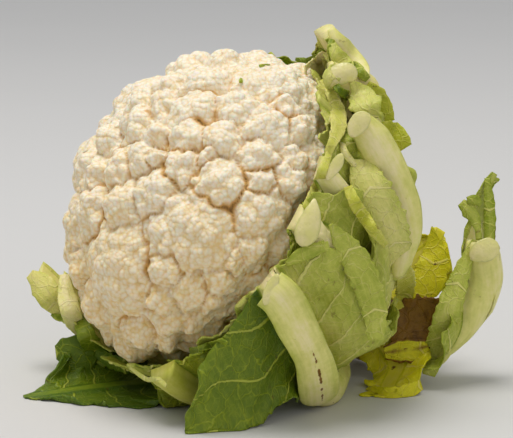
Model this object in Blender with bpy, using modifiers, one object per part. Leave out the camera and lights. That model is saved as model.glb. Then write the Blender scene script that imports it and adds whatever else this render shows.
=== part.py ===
"""A cauliflower head with its trimmed wrapper leaves, lying on its side.

Every piece is worked out in the head's own frame first: the axis runs up through the stalk and the
curd, heights are measured from the widest ring of the curd, and azimuth 0 is the side that faces a
person looking along +Y. The finished head is then tipped over onto its lower leaves.
"""

import math
from dataclasses import dataclass

import bmesh
import bpy
import numpy as np
from mathutils import Matrix, Vector
from mathutils.bvhtree import BVHTree
from mathutils.kdtree import KDTree

# Driving dimensions, in metres
CURD_RADIUS = 0.0825
CURD_RISE = 0.060
CURD_DROP = 0.047
STALK_RADIUS = 0.020
STALK_TOP = -0.0476
STALK_BOTTOM = -0.129
BLADE_THICKNESS = 0.0012
LEAF_GAP = 0.0008

# How the head lies: the way its axis points, the way azimuth 0 points, and where its centre is
AXIS = Vector((-0.7106, -0.4240, 0.5615)).normalized()
FRONT = Vector((0.4270, -0.8942, -0.1348))
HEAD_CENTRE = Vector((-0.0308, -0.0092, 0.088))

# The large domes of the curd on the side that is seen: azimuth, tilt from the axis, and width.
# Azimuth and tilt are those of a round head, before it is flattened. More domes fill the rest.
FLORETS = (
    (69, 70, 0.034),
    (52, 52, 0.022),
    (78, 41, 0.024),
    (98, 32, 0.017),
    (117, 23, 0.017),
    (57, 35, 0.024),
    (81, 24, 0.014),
    (34, 47, 0.020),
    (44, 65, 0.025),
    (48, 81, 0.016),
    (30, 65, 0.018),
    (35, 34, 0.019),
    (89, 13, 0.017),
    (41, 20, 0.012),
    (13, 17, 0.017),
    (16, 25, 0.009),
    (14, 36, 0.019),
    (24, 45, 0.011),
    (14, 54, 0.027),
    (20, 70, 0.018),
    (26, 83, 0.020),
    (34, 82, 0.014),
    (-6, 31, 0.022),
    (-22, 10, 0.017),
    (-83, 22, 0.022),
    (-34, 24, 0.020),
    (-9, 56, 0.046),
    (11, 76, 0.031),
    (0, 82, 0.018),
    (-8, 78, 0.012),
    (-16, 79, 0.014),
    (-24, 83, 0.013),
    (-27, 73, 0.019),
    (-27, 58, 0.019),
    (-37, 68, 0.015),
    (-42, 78, 0.017),
    (-43, 47, 0.024),
    (-44, 33, 0.019),
    (-67, 44, 0.018),
    (-64, 57, 0.018),
    (-52, 65, 0.019),
    (-57, 78, 0.016),
    (-49, 88, 0.012),
    (-36, 86, 0.009),
    (163, 10, 0.016),
    (-107, 11, 0.016),
    (55, 74, 0.016),
)

# How wide the domes and the knobs on them are, and how deep they part
DOME_SPACING = 0.024
DOME_DEPTH = 0.0062
KNOB_SPACING = 0.0115
KNOB_DEPTH = 0.0015
PILLOW_SHARE = 0.5
CREASE_WIDTH = 0.16
FLORET_LIMIT = -0.036
CURD_TRIANGLES = 6500
FLORET_SEED = 11

# A leaf is a grid of rows that cross it and columns that run along it, from its left edge to its
# right. A column is a share of the rib's half width, with the share of the blade that lies beyond.
LEAF_ROWS = 11
RIB_SHOULDER = 0.74
SHOULDER_DEPTH = 0.82
COLUMNS = (
    (-1, 1.0),
    (-1, 0.67),
    (-1, 0.33),
    (-1, 0.0),
    (-RIB_SHOULDER, 0.0),
    (0, 0.0),
    (RIB_SHOULDER, 0.0),
    (1, 0.0),
    (1, 0.33),
    (1, 0.67),
    (1, 1.0),
)
NARROWEST_BLADE = 0.002

# Leaves are bent away from the heart in small steps, until they touch nothing
HEART = Vector((0.0, 0.0, -0.030))
PUSH_STEP = 0.0006
PUSH_ROUNDS = 80
FAR = 0.4
SHARP_EDGE = math.radians(50)


@dataclass
class Leaf:
    """One leaf, in metres and degrees. Where there are several values, they run from base to tip.

    route: the midrib's inner face, as corners of radius, azimuth and height in the head's frame.
    left, right: how far the blade reaches on the side of lower and of higher azimuth.
    rib, depth: half the rib's width, and its thickness. The rib is cut off at rib_end of the length.
    drop: how far short of the tip the left and the right edge stop.
    flare_left, flare_right: how far the edges stand away from the head.
    wave: the height, the count and the start of the waves along the edges.
    hug: the radius the blade curls to. At 0 it lies round the head instead.
    roll: how far the leaf is turned about its own midrib.
    """

    name: str
    colour: str
    route: tuple
    left: tuple
    right: tuple
    rib: tuple
    depth: tuple
    drop: tuple = (0.0, 0.0)
    rib_end: float = 1.0
    flare_left: tuple = (0.0, 0.0)
    flare_right: tuple = (0.0, 0.0)
    wave: tuple = (0.0015, 2.0, 0.0)
    hug: float = 0.0
    roll: tuple = (0.0, 0.0)


LEAVES = (
    Leaf(
        name="leaf_collar_upper",
        colour="pale",
        route=(
            (0.0208, 60, -0.052),
            (0.044, 60, -0.052),
            (0.064, 60, -0.040),
            (0.079, 60, -0.020),
            (0.0835, 60, 0.004),
        ),
        left=(0.006, 0.008, 0.016, 0.026, 0.026),
        right=(0.006, 0.008, 0.016, 0.024, 0.022),
        rib=(0.005, 0.004, 0.003),
        depth=(0.004, 0.003, 0.002),
    ),
    Leaf(
        name="leaf_collar_front",
        colour="pale",
        route=(
            (0.0208, -14, -0.052),
            (0.044, -14, -0.052),
            (0.064, -14, -0.040),
            (0.079, -15, -0.020),
            (0.0835, -16, 0.001),
        ),
        left=(0.006, 0.008, 0.018, 0.032, 0.034),
        right=(0.006, 0.008, 0.018, 0.030, 0.030),
        rib=(0.005, 0.004, 0.003),
        depth=(0.004, 0.003, 0.002),
    ),
    Leaf(
        name="leaf_collar_lower",
        colour="green",
        route=(
            (0.0208, -68, -0.052),
            (0.044, -68, -0.052),
            (0.064, -68, -0.040),
            (0.079, -67, -0.020),
            (0.0835, -66, 0.002),
        ),
        left=(0.006, 0.008, 0.018, 0.032, 0.034),
        right=(0.006, 0.008, 0.018, 0.030, 0.030),
        rib=(0.005, 0.004, 0.003),
        depth=(0.004, 0.003, 0.002),
    ),
    Leaf(
        name="leaf_collar_back",
        colour="pale",
        route=(
            (0.0208, -155, -0.052),
            (0.044, -155, -0.052),
            (0.064, -155, -0.040),
            (0.079, -155, -0.020),
            (0.0835, -154, 0.004),
        ),
        left=(0.006, 0.008, 0.018, 0.032, 0.034),
        right=(0.006, 0.008, 0.018, 0.030, 0.030),
        rib=(0.005, 0.004, 0.003),
        depth=(0.004, 0.003, 0.002),
    ),
    Leaf(
        name="leaf_collar_top",
        colour="green",
        route=(
            (0.0208, 128, -0.052),
            (0.044, 128, -0.052),
            (0.064, 128, -0.040),
            (0.079, 128, -0.020),
            (0.0835, 128, 0.003),
        ),
        left=(0.006, 0.008, 0.018, 0.032, 0.034),
        right=(0.006, 0.008, 0.018, 0.030, 0.030),
        rib=(0.005, 0.004, 0.003),
        depth=(0.004, 0.003, 0.002),
    ),
    Leaf(
        name="leaf_left_inner",
        colour="pale",
        route=(
            (0.0208, -108, -0.058),
            (0.045, -108, -0.058),
            (0.067, -108, -0.043),
            (0.081, -110, -0.018),
            (0.084, -114, 0.004),
            (0.083, -122, 0.020),
        ),
        left=(0.008, 0.010, 0.018, 0.020, 0.008),
        right=(0.008, 0.010, 0.018, 0.022, 0.014),
        rib=(0.008, 0.007, 0.005),
        depth=(0.006, 0.005, 0.004),
    ),
    Leaf(
        name="leaf_inner_right",
        colour="green",
        route=(
            (0.0208, 24, -0.059),
            (0.045, 24, -0.058),
            (0.068, 25, -0.046),
            (0.081, 28, -0.024),
            (0.0845, 32, 0.001),
        ),
        left=(0.009, 0.012, 0.034, 0.044, 0.018),
        right=(0.009, 0.018, 0.034, 0.036, 0.016),
        rib=(0.009, 0.007, 0.006),
        depth=(0.006, 0.006, 0.006),
    ),
    Leaf(
        name="leaf_back_lower",
        colour="green",
        route=(
            (0.0208, -158, -0.060),
            (0.046, -158, -0.059),
            (0.073, -159, -0.048),
            (0.087, -160, -0.028),
            (0.089, -162, 0.002),
        ),
        left=(0.010, 0.014, 0.038, 0.040, 0.014),
        right=(0.010, 0.014, 0.038, 0.044, 0.018),
        rib=(0.010, 0.009, 0.008),
        depth=(0.010, 0.010, 0.009),
        wave=(0.003, 2.5, 0.7),
    ),
    Leaf(
        name="leaf_top",
        colour="green",
        route=(
            (0.0208, 92, -0.060),
            (0.045, 91, -0.059),
            (0.072, 89, -0.048),
            (0.088, 86, -0.031),
            (0.100, 84, 0.003),
        ),
        left=(0.010, 0.013, 0.032, 0.036, 0.012),
        right=(0.010, 0.013, 0.030, 0.034, 0.014),
        rib=(0.010, 0.009, 0.007),
        depth=(0.009, 0.009, 0.008),
        drop=(0.012, 0.010),
        wave=(0.003, 3.0, 0.6),
    ),
    Leaf(
        name="leaf_inner_front",
        colour="green",
        route=(
            (0.0208, 6, -0.067),
            (0.045, 6, -0.066),
            (0.069, 8, -0.051),
            (0.082, 11, -0.028),
            (0.0855, 14, 0.004),
        ),
        left=(0.010, 0.013, 0.026, 0.030, 0.012),
        right=(0.010, 0.013, 0.028, 0.032, 0.012),
        rib=(0.010, 0.009, 0.009),
        depth=(0.008, 0.008, 0.008),
    ),
    Leaf(
        name="leaf_upper",
        colour="bright",
        route=(
            (0.0208, 66, -0.071),
            (0.046, 66, -0.070),
            (0.073, 67, -0.057),
            (0.089, 69, -0.034),
            (0.092, 70, -0.004),
        ),
        left=(0.010, 0.013, 0.024, 0.022, 0.012),
        right=(0.010, 0.013, 0.030, 0.032, 0.012),
        rib=(0.010, 0.008, 0.007),
        depth=(0.009, 0.009, 0.008),
        flare_left=(0.0, 0.002, 0.008, 0.004, 0.002),
        drop=(0.008, 0.008),
        wave=(0.003, 3.0, 0.4),
    ),
    Leaf(
        name="leaf_back_upper",
        colour="green",
        route=(
            (0.0208, 120, -0.071),
            (0.046, 120, -0.070),
            (0.072, 121, -0.055),
            (0.086, 122, -0.030),
            (0.088, 123, 0.001),
        ),
        left=(0.010, 0.013, 0.034, 0.036, 0.014),
        right=(0.010, 0.013, 0.034, 0.036, 0.014),
        rib=(0.010, 0.009, 0.008),
        depth=(0.009, 0.009, 0.008),
        wave=(0.003, 3.0, 0.9),
    ),
    Leaf(
        name="leaf_left",
        colour="yellow_green",
        route=(
            (0.0208, -114, -0.072),
            (0.045, -114, -0.071),
            (0.072, -115, -0.056),
            (0.086, -119, -0.027),
            (0.092, -125, 0.000),
            (0.098, -132, 0.019),
        ),
        left=(0.010, 0.013, 0.030, 0.030, 0.010),
        right=(0.012, 0.013, 0.014, 0.016, 0.018, 0.010),
        rib=(0.010, 0.009, 0.008),
        depth=(0.009, 0.009, 0.008),
    ),
    Leaf(
        name="leaf_floor",
        colour="dark",
        route=(
            (0.0208, -90, -0.084),
            (0.042, -90, -0.082),
            (0.061, -90, -0.062),
            (0.082, -90, -0.033),
            (0.101, -91, -0.006),
            (0.120, -92, 0.018),
        ),
        left=(0.008, 0.009, 0.009, 0.014, 0.026, 0.014),
        right=(0.008, 0.010, 0.028, 0.042, 0.040, 0.012),
        rib=(0.006, 0.005, 0.003),
        depth=(0.005, 0.004, 0.002),
        drop=(0.022, 0.008),
        flare_left=(0.0, 0.0, 0.0, -0.002, -0.012, -0.012),
        wave=(0.003, 3.0, 0.5),
    ),
    Leaf(
        name="leaf_lower",
        colour="yellow_green",
        route=(
            (0.0208, -52, -0.072),
            (0.046, -53, -0.071),
            (0.072, -54, -0.050),
            (0.086, -52, -0.022),
            (0.090, -48, 0.003),
        ),
        left=(0.009, 0.011, 0.020, 0.020, 0.010),
        right=(0.009, 0.011, 0.030, 0.034, 0.026),
        rib=(0.009, 0.008, 0.008),
        depth=(0.008, 0.009, 0.009),
    ),
    Leaf(
        name="leaf_right",
        colour="pale",
        route=(
            (0.0208, 22, -0.083),
            (0.045, 23, -0.083),
            (0.070, 30, -0.071),
            (0.083, 41, -0.053),
            (0.0885, 51, -0.036),
            (0.0885, 58, -0.015),
        ),
        left=(0.012, 0.018, 0.040, 0.054, 0.048),
        right=(0.012, 0.013, 0.014, 0.014, 0.010),
        rib=(0.011, 0.010, 0.007),
        depth=(0.012, 0.012, 0.009),
        flare_left=(0.0, 0.0, 0.004, 0.006, 0.004),
        wave=(0.004, 3.0, 0.1),
        drop=(0.014, 0.004),
    ),
    Leaf(
        name="leaf_back",
        colour="pale",
        route=(
            (0.0208, 152, -0.083),
            (0.046, 152, -0.083),
            (0.072, 154, -0.067),
            (0.087, 158, -0.040),
            (0.088, 163, 0.002),
        ),
        left=(0.012, 0.015, 0.040, 0.044, 0.018),
        right=(0.012, 0.015, 0.034, 0.036, 0.014),
        rib=(0.011, 0.010, 0.008),
        depth=(0.011, 0.011, 0.009),
        wave=(0.0035, 2.5, 0.3),
    ),
    Leaf(
        name="leaf_front",
        colour="dark",
        route=(
            (0.0208, -34, -0.088),
            (0.045, -34, -0.086),
            (0.069, -31, -0.074),
            (0.079, -22, -0.054),
            (0.084, -12, -0.028),
            (0.084, -5, -0.001),
        ),
        left=(0.012, 0.014, 0.016, 0.026, 0.036, 0.045, 0.054, 0.058, 0.050),
        right=(0.014, 0.042, 0.050, 0.042, 0.030),
        rib=(0.011, 0.010, 0.007),
        depth=(0.012, 0.013, 0.010),
        flare_left=(0.0, 0.0, 0.0, 0.0, 0.008, 0.016, 0.026, 0.036, 0.016),
        drop=(0.0, 0.010),
        wave=(0.003, 2.5, 0.2),
    ),
    Leaf(
        name="leaf_wilted_upper",
        colour="yellow",
        route=(
            (0.0208, 58, -0.098),
            (0.0294, 61, -0.104),
            (0.0391, 65, -0.110),
            (0.0495, 70, -0.114),
            (0.0604, 75, -0.115),
        ),
        left=(0.008, 0.020, 0.026, 0.022, 0.006),
        right=(0.008, 0.018, 0.024, 0.018, 0.006),
        rib=(0.004, 0.003, 0.002),
        depth=(0.004, 0.003, 0.002),
        hug=0.060,
        roll=(0.0, 40.0, 40.0, 40.0),
    ),
    Leaf(
        name="leaf_wilted_lower",
        colour="yellow",
        route=(
            (0.0208, 6, -0.100),
            (0.032, 3, -0.104),
            (0.046, -7, -0.119),
            (0.060, -15, -0.116),
            (0.075, -18, -0.109),
        ),
        left=(0.012, 0.018, 0.022, 0.024, 0.018),
        right=(0.012, 0.018, 0.022, 0.020, 0.012),
        rib=(0.006, 0.004, 0.003),
        depth=(0.005, 0.004, 0.002),
        hug=0.080,
        wave=(0.003, 3.0, 0.5),
    ),
    Leaf(
        name="leaf_splayed",
        colour="pale",
        route=(
            (0.0208, 22, -0.106),
            (0.033, 16, -0.109),
            (0.046, 7, -0.121),
            (0.054, 13, -0.125),
            (0.061, 26, -0.125),
            (0.069, 40, -0.121),
            (0.076, 51, -0.110),
            (0.087, 58, -0.104),
            (0.1035, 65, -0.1015),
        ),
        left=(0.010, 0.014, 0.019, 0.022, 0.022, 0.020, 0.017, 0.008, 0.005),
        right=(0.010, 0.012, 0.016, 0.017, 0.017, 0.016, 0.014, 0.006, 0.004),
        rib=(0.010, 0.010, 0.012, 0.013, 0.013, 0.013, 0.012, 0.004, 0.002),
        depth=(0.010, 0.012, 0.012),
        hug=0.022,
        rib_end=0.79,
        roll=(0.0, -60.0, -108.0, -108.0, -108.0),
    ),
)

# Base colours and roughness
COLOURS = {
    "curd": ((0.86, 0.76, 0.58), 0.62),
    "stalk": ((0.42, 0.27, 0.10), 0.7),
    "green": ((0.24, 0.36, 0.06), 0.5),
    "dark": ((0.10, 0.20, 0.03), 0.45),
    "bright": ((0.30, 0.44, 0.03), 0.45),
    "pale": ((0.50, 0.58, 0.24), 0.5),
    "yellow_green": ((0.52, 0.56, 0.16), 0.5),
    "yellow": ((0.50, 0.48, 0.02), 0.55),
}


def head_matrix():
    """From the head's own frame to where the head lies."""
    front = (FRONT - AXIS * FRONT.dot(AXIS)).normalized()
    turn = Matrix((front, AXIS.cross(front), AXIS)).transposed().to_4x4()
    return Matrix.Translation(HEAD_CENTRE) @ turn


def material(name, colour):
    base, roughness = COLOURS[colour]
    made = bpy.data.materials.new(name + "_skin")
    made.use_nodes = True
    shader = made.node_tree.nodes["Principled BSDF"]
    shader.inputs["Base Color"].default_value = (*base, 1.0)
    shader.inputs["Roughness"].default_value = roughness
    shader.inputs["Metallic"].default_value = 0.0
    return made


# The curd


def lattice(count):
    """Directions spread evenly over a sphere."""
    k = np.arange(count)
    z = 1 - (2 * k + 1) / count
    turn = k * math.pi * (3 - math.sqrt(5))
    r = np.sqrt(1 - z * z)
    return np.stack([r * np.cos(turn), r * np.sin(turn), z], 1)


def curd_base(directions):
    """Points and outward normals of the smooth curd, for directions from its centre."""
    rise = np.where(directions[:, 2:] > 0, CURD_RISE, CURD_DROP)
    axes = np.concatenate([np.full((len(directions), 2), CURD_RADIUS), rise], 1)
    normals = directions / axes
    return directions * axes, normals / np.linalg.norm(normals, axis=1)[:, None]


def scattered(points, spacing, random, seeds, sizes):
    """The seeds, and some of the points between them, with sizes that vary, each about spacing apart."""
    for k in random.permutation(len(points)):
        size = random.uniform(0.75, 1.2)
        apart = np.linalg.norm(seeds - points[k], axis=1)
        if (apart > spacing * (sizes + size) / 2).all():
            seeds = np.vstack([seeds, points[k]])
            sizes = np.append(sizes, size)
    return seeds, sizes


def sunk(points, seeds, sizes, spacing, depth):
    """How far each point sinks below a pillow's top: each seed has a pillow, with creases between."""
    tree = KDTree(len(seeds))
    for k, seed in enumerate(seeds):
        tree.insert(seed, k)
    tree.balance()
    reach = [sorted(apart / sizes[k] for _, k, apart in tree.find_n(p, 5))[:2] for p in points]
    first, second = np.array(reach).T / spacing
    pillow = np.minimum(2 * first, 1.3) ** 2
    crease = np.exp((first - second) / CREASE_WIDTH)
    return depth * (PILLOW_SHARE * pillow + (1 - PILLOW_SHARE) * crease)


def floret_share(heights):
    """1 over the florets, falling to 0 on the bare underside."""
    return np.clip((heights - FLORET_LIMIT) / 0.012, 0, 1)


def floret_seeds():
    """The centres and sizes of the large domes, and of the knobs that stand on them."""
    random = np.random.default_rng(FLORET_SEED)
    azimuth, tilt, width = np.array(FLORETS).T
    azimuth, tilt = np.radians(azimuth), np.radians(tilt)
    seen = np.stack([np.sin(tilt) * np.cos(azimuth), np.sin(tilt) * np.sin(azimuth), np.cos(tilt)], 1)
    seeds = curd_base(seen)[0]
    domes = scattered(curd_base(lattice(2400))[0], DOME_SPACING, random, seeds, width / DOME_SPACING)
    points, normals = curd_base(lattice(9000))
    points = points - normals * sunk(points, *domes, DOME_SPACING, DOME_DEPTH)[:, None]
    return domes, scattered(points, KNOB_SPACING, random, points[:1], np.ones(1))


def make_curd(to_world):
    domes, knobs = floret_seeds()
    bm = bmesh.new()
    bmesh.ops.create_icosphere(bm, subdivisions=6, radius=1.0)
    points, normals = curd_base(np.array([v.co.normalized() for v in bm.verts]))
    share = floret_share(points[:, 2])[:, None]
    points = points - share * normals * sunk(points, *domes, DOME_SPACING, DOME_DEPTH)[:, None]
    for vertex, point in zip(bm.verts, points):
        vertex.co = point
    bm.normal_update()
    normals = np.array([v.normal for v in bm.verts])
    points = points - share * normals * sunk(points, *knobs, KNOB_SPACING, KNOB_DEPTH)[:, None]
    for vertex, point in zip(bm.verts, points):
        vertex.co = point
    mesh = bpy.data.meshes.new("curd")
    bm.to_mesh(mesh)
    bm.free()
    mesh.transform(to_world)
    curd = bpy.data.objects.new("curd", mesh)
    fewer = curd.modifiers.new("fewer_faces", "DECIMATE")
    fewer.ratio = CURD_TRIANGLES / len(mesh.polygons)
    return applied(curd)


# The stalk


def make_stalk(to_world):
    """A turned stump with its foot cut off flat."""
    profile = [
        (0.0, STALK_TOP),
        (STALK_RADIUS - 0.001, STALK_TOP),
        (STALK_RADIUS, STALK_TOP - 0.001),
        (STALK_RADIUS, STALK_BOTTOM + 0.010),
        (STALK_RADIUS - 0.001, STALK_BOTTOM + 0.002),
        (STALK_RADIUS - 0.003, STALK_BOTTOM),
        (0.0, STALK_BOTTOM),
    ]
    mesh = bpy.data.meshes.new("stalk")
    mesh.from_pydata([(x, 0, z) for x, z in profile], [(k, k + 1) for k in range(len(profile) - 1)], [])
    stalk = bpy.data.objects.new("stalk", mesh)
    turn = stalk.modifiers.new("turned", "SCREW")
    turn.steps = turn.render_steps = 32
    turn.use_merge_vertices = True
    turn.merge_threshold = 0.0001
    stalk = applied(stalk)
    stalk.data.transform(to_world)
    return stalk


# The leaves


def head_point(radius, azimuth, height):
    turn = math.radians(azimuth)
    return np.array([radius * math.cos(turn), radius * math.sin(turn), height])


def smooth_route(corners, places):
    """Points on a smooth curve through the corners, at shares of its length given by places."""
    ends = 2 * corners[0] - corners[1], 2 * corners[-1] - corners[-2]
    p = np.vstack([ends[0], corners, ends[1]])
    dense = [corners[0]]
    for a, b, c, d in zip(p, p[1:], p[2:], p[3:]):
        for s in np.linspace(0, 1, 25)[1:]:
            bend = (2 * a - 5 * b + 4 * c - d) * s * s + (3 * b - a - 3 * c + d) * s**3
            dense.append(b + 0.5 * ((c - a) * s + bend))
    dense = np.array(dense)
    run = np.concatenate([[0], np.cumsum(np.linalg.norm(np.diff(dense, axis=0), axis=1))])
    return at(dense, run, places * run[-1]), run[-1]


def along(values, places):
    """A size that is given at even steps along a leaf, read at other places."""
    return np.interp(places, np.linspace(0, 1, len(values)), values)


def at(vectors, steps, places):
    """Points or directions that are given at steps along a leaf, read at other places."""
    return np.stack([np.interp(places, steps, vectors[:, k]) for k in range(3)], 1)


def unit(vectors):
    return vectors / np.linalg.norm(vectors, axis=-1)[..., None]


def turned(points, angles):
    """The points, each turned round the head's axis."""
    x, y, z = points.T
    cos, sin = np.cos(angles), np.sin(angles)
    return np.stack([x * cos - y * sin, x * sin + y * cos, z], 1)


def backs(forward, rolls):
    """The way a leaf's back faces: straight down at the stalk, then turning with the leaf, and rolled."""
    back = np.array([0.0, 0.0, -1.0])
    found = []
    for ahead, roll in zip(forward, np.radians(rolls)):
        back = unit(back - ahead * back.dot(ahead))
        found.append(back * math.cos(roll) + np.cross(ahead, back) * math.sin(roll))
    return np.array(found)


def leaf_sheet(leaf):
    """The inner face of a leaf as rows of points in the head's frame, and its thickness at each."""
    corners = np.array([head_point(*corner) for corner in leaf.route])
    rows = np.linspace(0, 1, LEAF_ROWS)
    fine = np.linspace(0, 1, 8 * LEAF_ROWS)
    line, length = smooth_route(corners, fine)
    forward = unit(np.gradient(line, axis=0))
    back = backs(forward, along(leaf.roll, fine))
    half = along(leaf.rib, rows)
    sheet = np.zeros((LEAF_ROWS, len(COLUMNS), 3))
    thickness = np.full((LEAF_ROWS, len(COLUMNS)), BLADE_THICKNESS)
    for c, (side, share) in enumerate(COLUMNS):
        width, flare, drop, lag = leaf.right, leaf.flare_right, leaf.drop[1], 0.3
        if side < 0:
            width, flare, drop, lag = leaf.left, leaf.flare_left, leaf.drop[0], 0.0
        places = rows * (1 - drop / length * share)
        middle = at(line, fine, places)
        outward = unit(at(back, fine, places))
        across = np.cross(unit(at(forward, fine, places)), outward)
        blade = np.maximum(along(width, rows) - half, NARROWEST_BLADE)
        offset = np.sign(side) * (half * abs(side) + blade * share)
        height, count, phase = leaf.wave
        wave = height * share**1.5 * np.sin(2 * math.pi * (count * rows + phase + lag)) * rows
        raised = (along(flare, rows) * share**2 + wave)[:, None]
        if leaf.hug:
            angle = (offset / leaf.hug)[:, None]
            facing = outward * np.cos(angle) + across * np.sin(angle)
            sheet[:, c] = middle + leaf.hug * (facing - outward) + raised * facing
        else:
            sheet[:, c] = turned(middle + outward * raised, offset / np.hypot(middle[:, 0], middle[:, 1]))
        if share == 0 and abs(side) < 1:
            thickness[:, c] = along(leaf.depth, rows) * (SHOULDER_DEPTH if side else 1.0)
            thickness[rows > leaf.rib_end, c] = BLADE_THICKNESS
    return sheet, thickness


def thickened(name, sheet, thickness):
    """A leaf's closed solid: the grid moved onto the sheet, split into triangles and thickened."""
    rows, columns = thickness.shape
    bm = bmesh.new()
    weights = bm.verts.layers.deform.verify()
    bmesh.ops.create_grid(bm, x_segments=columns - 1, y_segments=rows - 1, size=0.5)
    order = sorted(bm.verts, key=lambda v: (round(v.co.y, 4), round(v.co.x, 4)))
    most = thickness.max()
    for vertex, point, thick in zip(order, sheet.reshape(-1, 3), thickness.ravel()):
        vertex.co = point
        vertex[weights][0] = thick / most
    bmesh.ops.triangulate(bm, faces=bm.faces)
    mesh = bpy.data.meshes.new(name)
    bm.to_mesh(mesh)
    bm.free()
    leaf = bpy.data.objects.new(name, mesh)
    leaf.vertex_groups.new(name="thickness")
    wall = leaf.modifiers.new("thickness", "SOLIDIFY")
    wall.thickness = most
    wall.offset = 1.0
    wall.vertex_group = "thickness"
    leaf.modifiers.new("triangles", "TRIANGULATE")
    return leaf


def applied(thing):
    """The object with its modifiers made into its mesh."""
    bpy.context.scene.collection.objects.link(thing)
    graph = bpy.context.evaluated_depsgraph_get()
    mesh = bpy.data.meshes.new_from_object(thing.evaluated_get(graph))
    bpy.context.scene.collection.objects.unlink(thing)
    thing.modifiers.clear()
    thing.data = mesh
    return thing


def pressed(thing):
    """The leaf's solid, flattened where it meets the floor."""
    solid = applied(thing)
    outer = len(solid.data.vertices) // 2
    for k, vertex in enumerate(solid.data.vertices):
        vertex.co.z = max(vertex.co.z, 0.0 if k < outer else BLADE_THICKNESS)
    return solid


def spread(push):
    """Every place moves at least 0.6 times as far as its neighbours, so that a leaf bends smoothly."""
    padded = np.pad(push, 1, mode="edge")
    near = np.max([padded[:-2, 1:-1], padded[2:, 1:-1], padded[1:-1, :-2], padded[1:-1, 2:]], axis=0)
    return np.maximum(push, 0.6 * near)


def tree_of(things):
    """One search tree over the faces of some objects."""
    points = []
    faces = []
    for thing in things:
        start = len(points)
        points += [vertex.co for vertex in thing.data.vertices]
        faces += [[start + corner for corner in polygon.vertices] for polygon in thing.data.polygons]
    return BVHTree.FromPolygons(points, faces)


def bent_clear(leaf, to_world, inner):
    """The leaf's solid, bent outwards until it lies over everything that is nearer the heart.

    Its base slides down the stalk instead, because it stays joined there.
    """
    sheet, thickness = leaf_sheet(leaf)
    points = sheet @ np.array(to_world.to_3x3()).T + np.array(to_world.translation)
    heart = np.array(to_world @ HEART)
    away = points - heart
    reach = np.linalg.norm(away, axis=-1)
    away = away / reach[..., None]
    away[0] = -np.array(AXIS)
    push = np.zeros(reach.shape)
    for row, column in np.ndindex(reach.shape):
        outward = Vector(away[row, column])
        hit = inner.ray_cast(Vector(heart) + outward * FAR, -outward, FAR)[0]
        if row and hit:
            push[row, column] = max(0.0, (hit - Vector(heart)).length + LEAF_GAP - reach[row, column])
    push = spread(spread(push))
    for _ in range(PUSH_ROUNDS):
        solid = pressed(thickened(leaf.name, points + away * push[..., None], thickness))
        touching = {face for face, _ in tree_of([solid]).overlap(inner)}
        if not touching:
            return solid
        hits = np.zeros(push.size)
        for face in touching:
            for corner in solid.data.polygons[face].vertices:
                hits[corner % push.size] = 1.0
        push += PUSH_STEP * spread(hits.reshape(push.shape))
        bpy.data.objects.remove(solid)
    raise ValueError(leaf.name + " has no room")


def main():
    for thing in list(bpy.data.objects):
        bpy.data.objects.remove(thing, do_unlink=True)
    collection = bpy.data.collections.new("cauliflower")
    bpy.context.scene.collection.children.link(collection)
    to_world = head_matrix()
    pieces = [(make_curd(to_world), "curd"), (make_stalk(to_world), "stalk")]
    for leaf in LEAVES:
        inner = tree_of([piece for piece, _ in pieces])
        pieces.append((bent_clear(leaf, to_world, inner), leaf.colour))
    for piece, colour in pieces:
        piece.data.materials.clear()
        piece.data.materials.append(material(piece.name, colour))
        piece.data.shade_smooth()
        piece.data.set_sharp_from_angle(angle=SHARP_EDGE)
        collection.objects.link(piece)


main()
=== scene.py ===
# %% [markdown]
# # A cauliflower on its side
#
# This lesson dresses a plain, faceted model of a cauliflower until it looks like a fresh one. The curd
# gets its domes, knobs and granules, every leaf gets its rib, veins, ruffles and torn edges, and the
# stalk gets its cut foot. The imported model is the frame: it says where each piece is, and every new
# piece stands for one of its nodes. All sizes are in metres.

import math

import bmesh
import bpy
import numpy as np
from mathutils import Matrix, Vector, noise
from mathutils.bvhtree import BVHTree
from mathutils.kdtree import KDTree


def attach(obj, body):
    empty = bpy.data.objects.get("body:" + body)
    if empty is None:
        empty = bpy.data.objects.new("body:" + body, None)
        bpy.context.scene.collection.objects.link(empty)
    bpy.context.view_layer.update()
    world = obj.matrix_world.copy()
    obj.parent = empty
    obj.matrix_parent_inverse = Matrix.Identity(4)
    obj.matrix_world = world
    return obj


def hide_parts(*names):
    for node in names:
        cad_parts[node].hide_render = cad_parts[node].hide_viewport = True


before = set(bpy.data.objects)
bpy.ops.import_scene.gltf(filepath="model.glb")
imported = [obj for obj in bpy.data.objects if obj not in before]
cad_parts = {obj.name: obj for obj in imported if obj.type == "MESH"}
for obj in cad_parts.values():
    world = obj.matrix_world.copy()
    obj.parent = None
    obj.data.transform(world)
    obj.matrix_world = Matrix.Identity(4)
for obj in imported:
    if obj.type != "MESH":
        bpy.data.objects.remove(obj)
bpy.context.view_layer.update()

# %% [markdown]
# ## Camera
#
# The photograph looks slightly down at the head from a short distance. The camera stands 0.9 m from the
# middle of the head and 10 degrees above the table, and it looks along +Y. It is moved sideways rather
# than turned, so that the uprights of the picture stay upright.

# %% Camera
HEAD_CENTRE = Vector((-0.0308, -0.0092, 0.088))
CAMERA_RISE = math.radians(10)
CAMERA_DISTANCE = 0.9
CAMERA_RIGHT = 0.02833
CAMERA_DOWN = 0.00571
LENS = 132.7
SENSOR_WIDTH = 36

camera_data = bpy.data.cameras.new("camera")
camera_data.lens = LENS
camera_data.sensor_width = SENSOR_WIDTH
camera = bpy.data.objects.new("camera", camera_data)
bpy.context.scene.collection.objects.link(camera)
side = Vector((1, 0, 0))
up = Vector((0, math.sin(CAMERA_RISE), math.cos(CAMERA_RISE)))
back = side.cross(up)
place = HEAD_CENTRE + CAMERA_DISTANCE * back + CAMERA_RIGHT * side - CAMERA_DOWN * up
camera.matrix_world = Matrix.Translation(place) @ Matrix((side, up, back)).transposed().to_4x4()
bpy.context.scene.camera = camera
print("camera at", [round(value, 3) for value in place])

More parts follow.
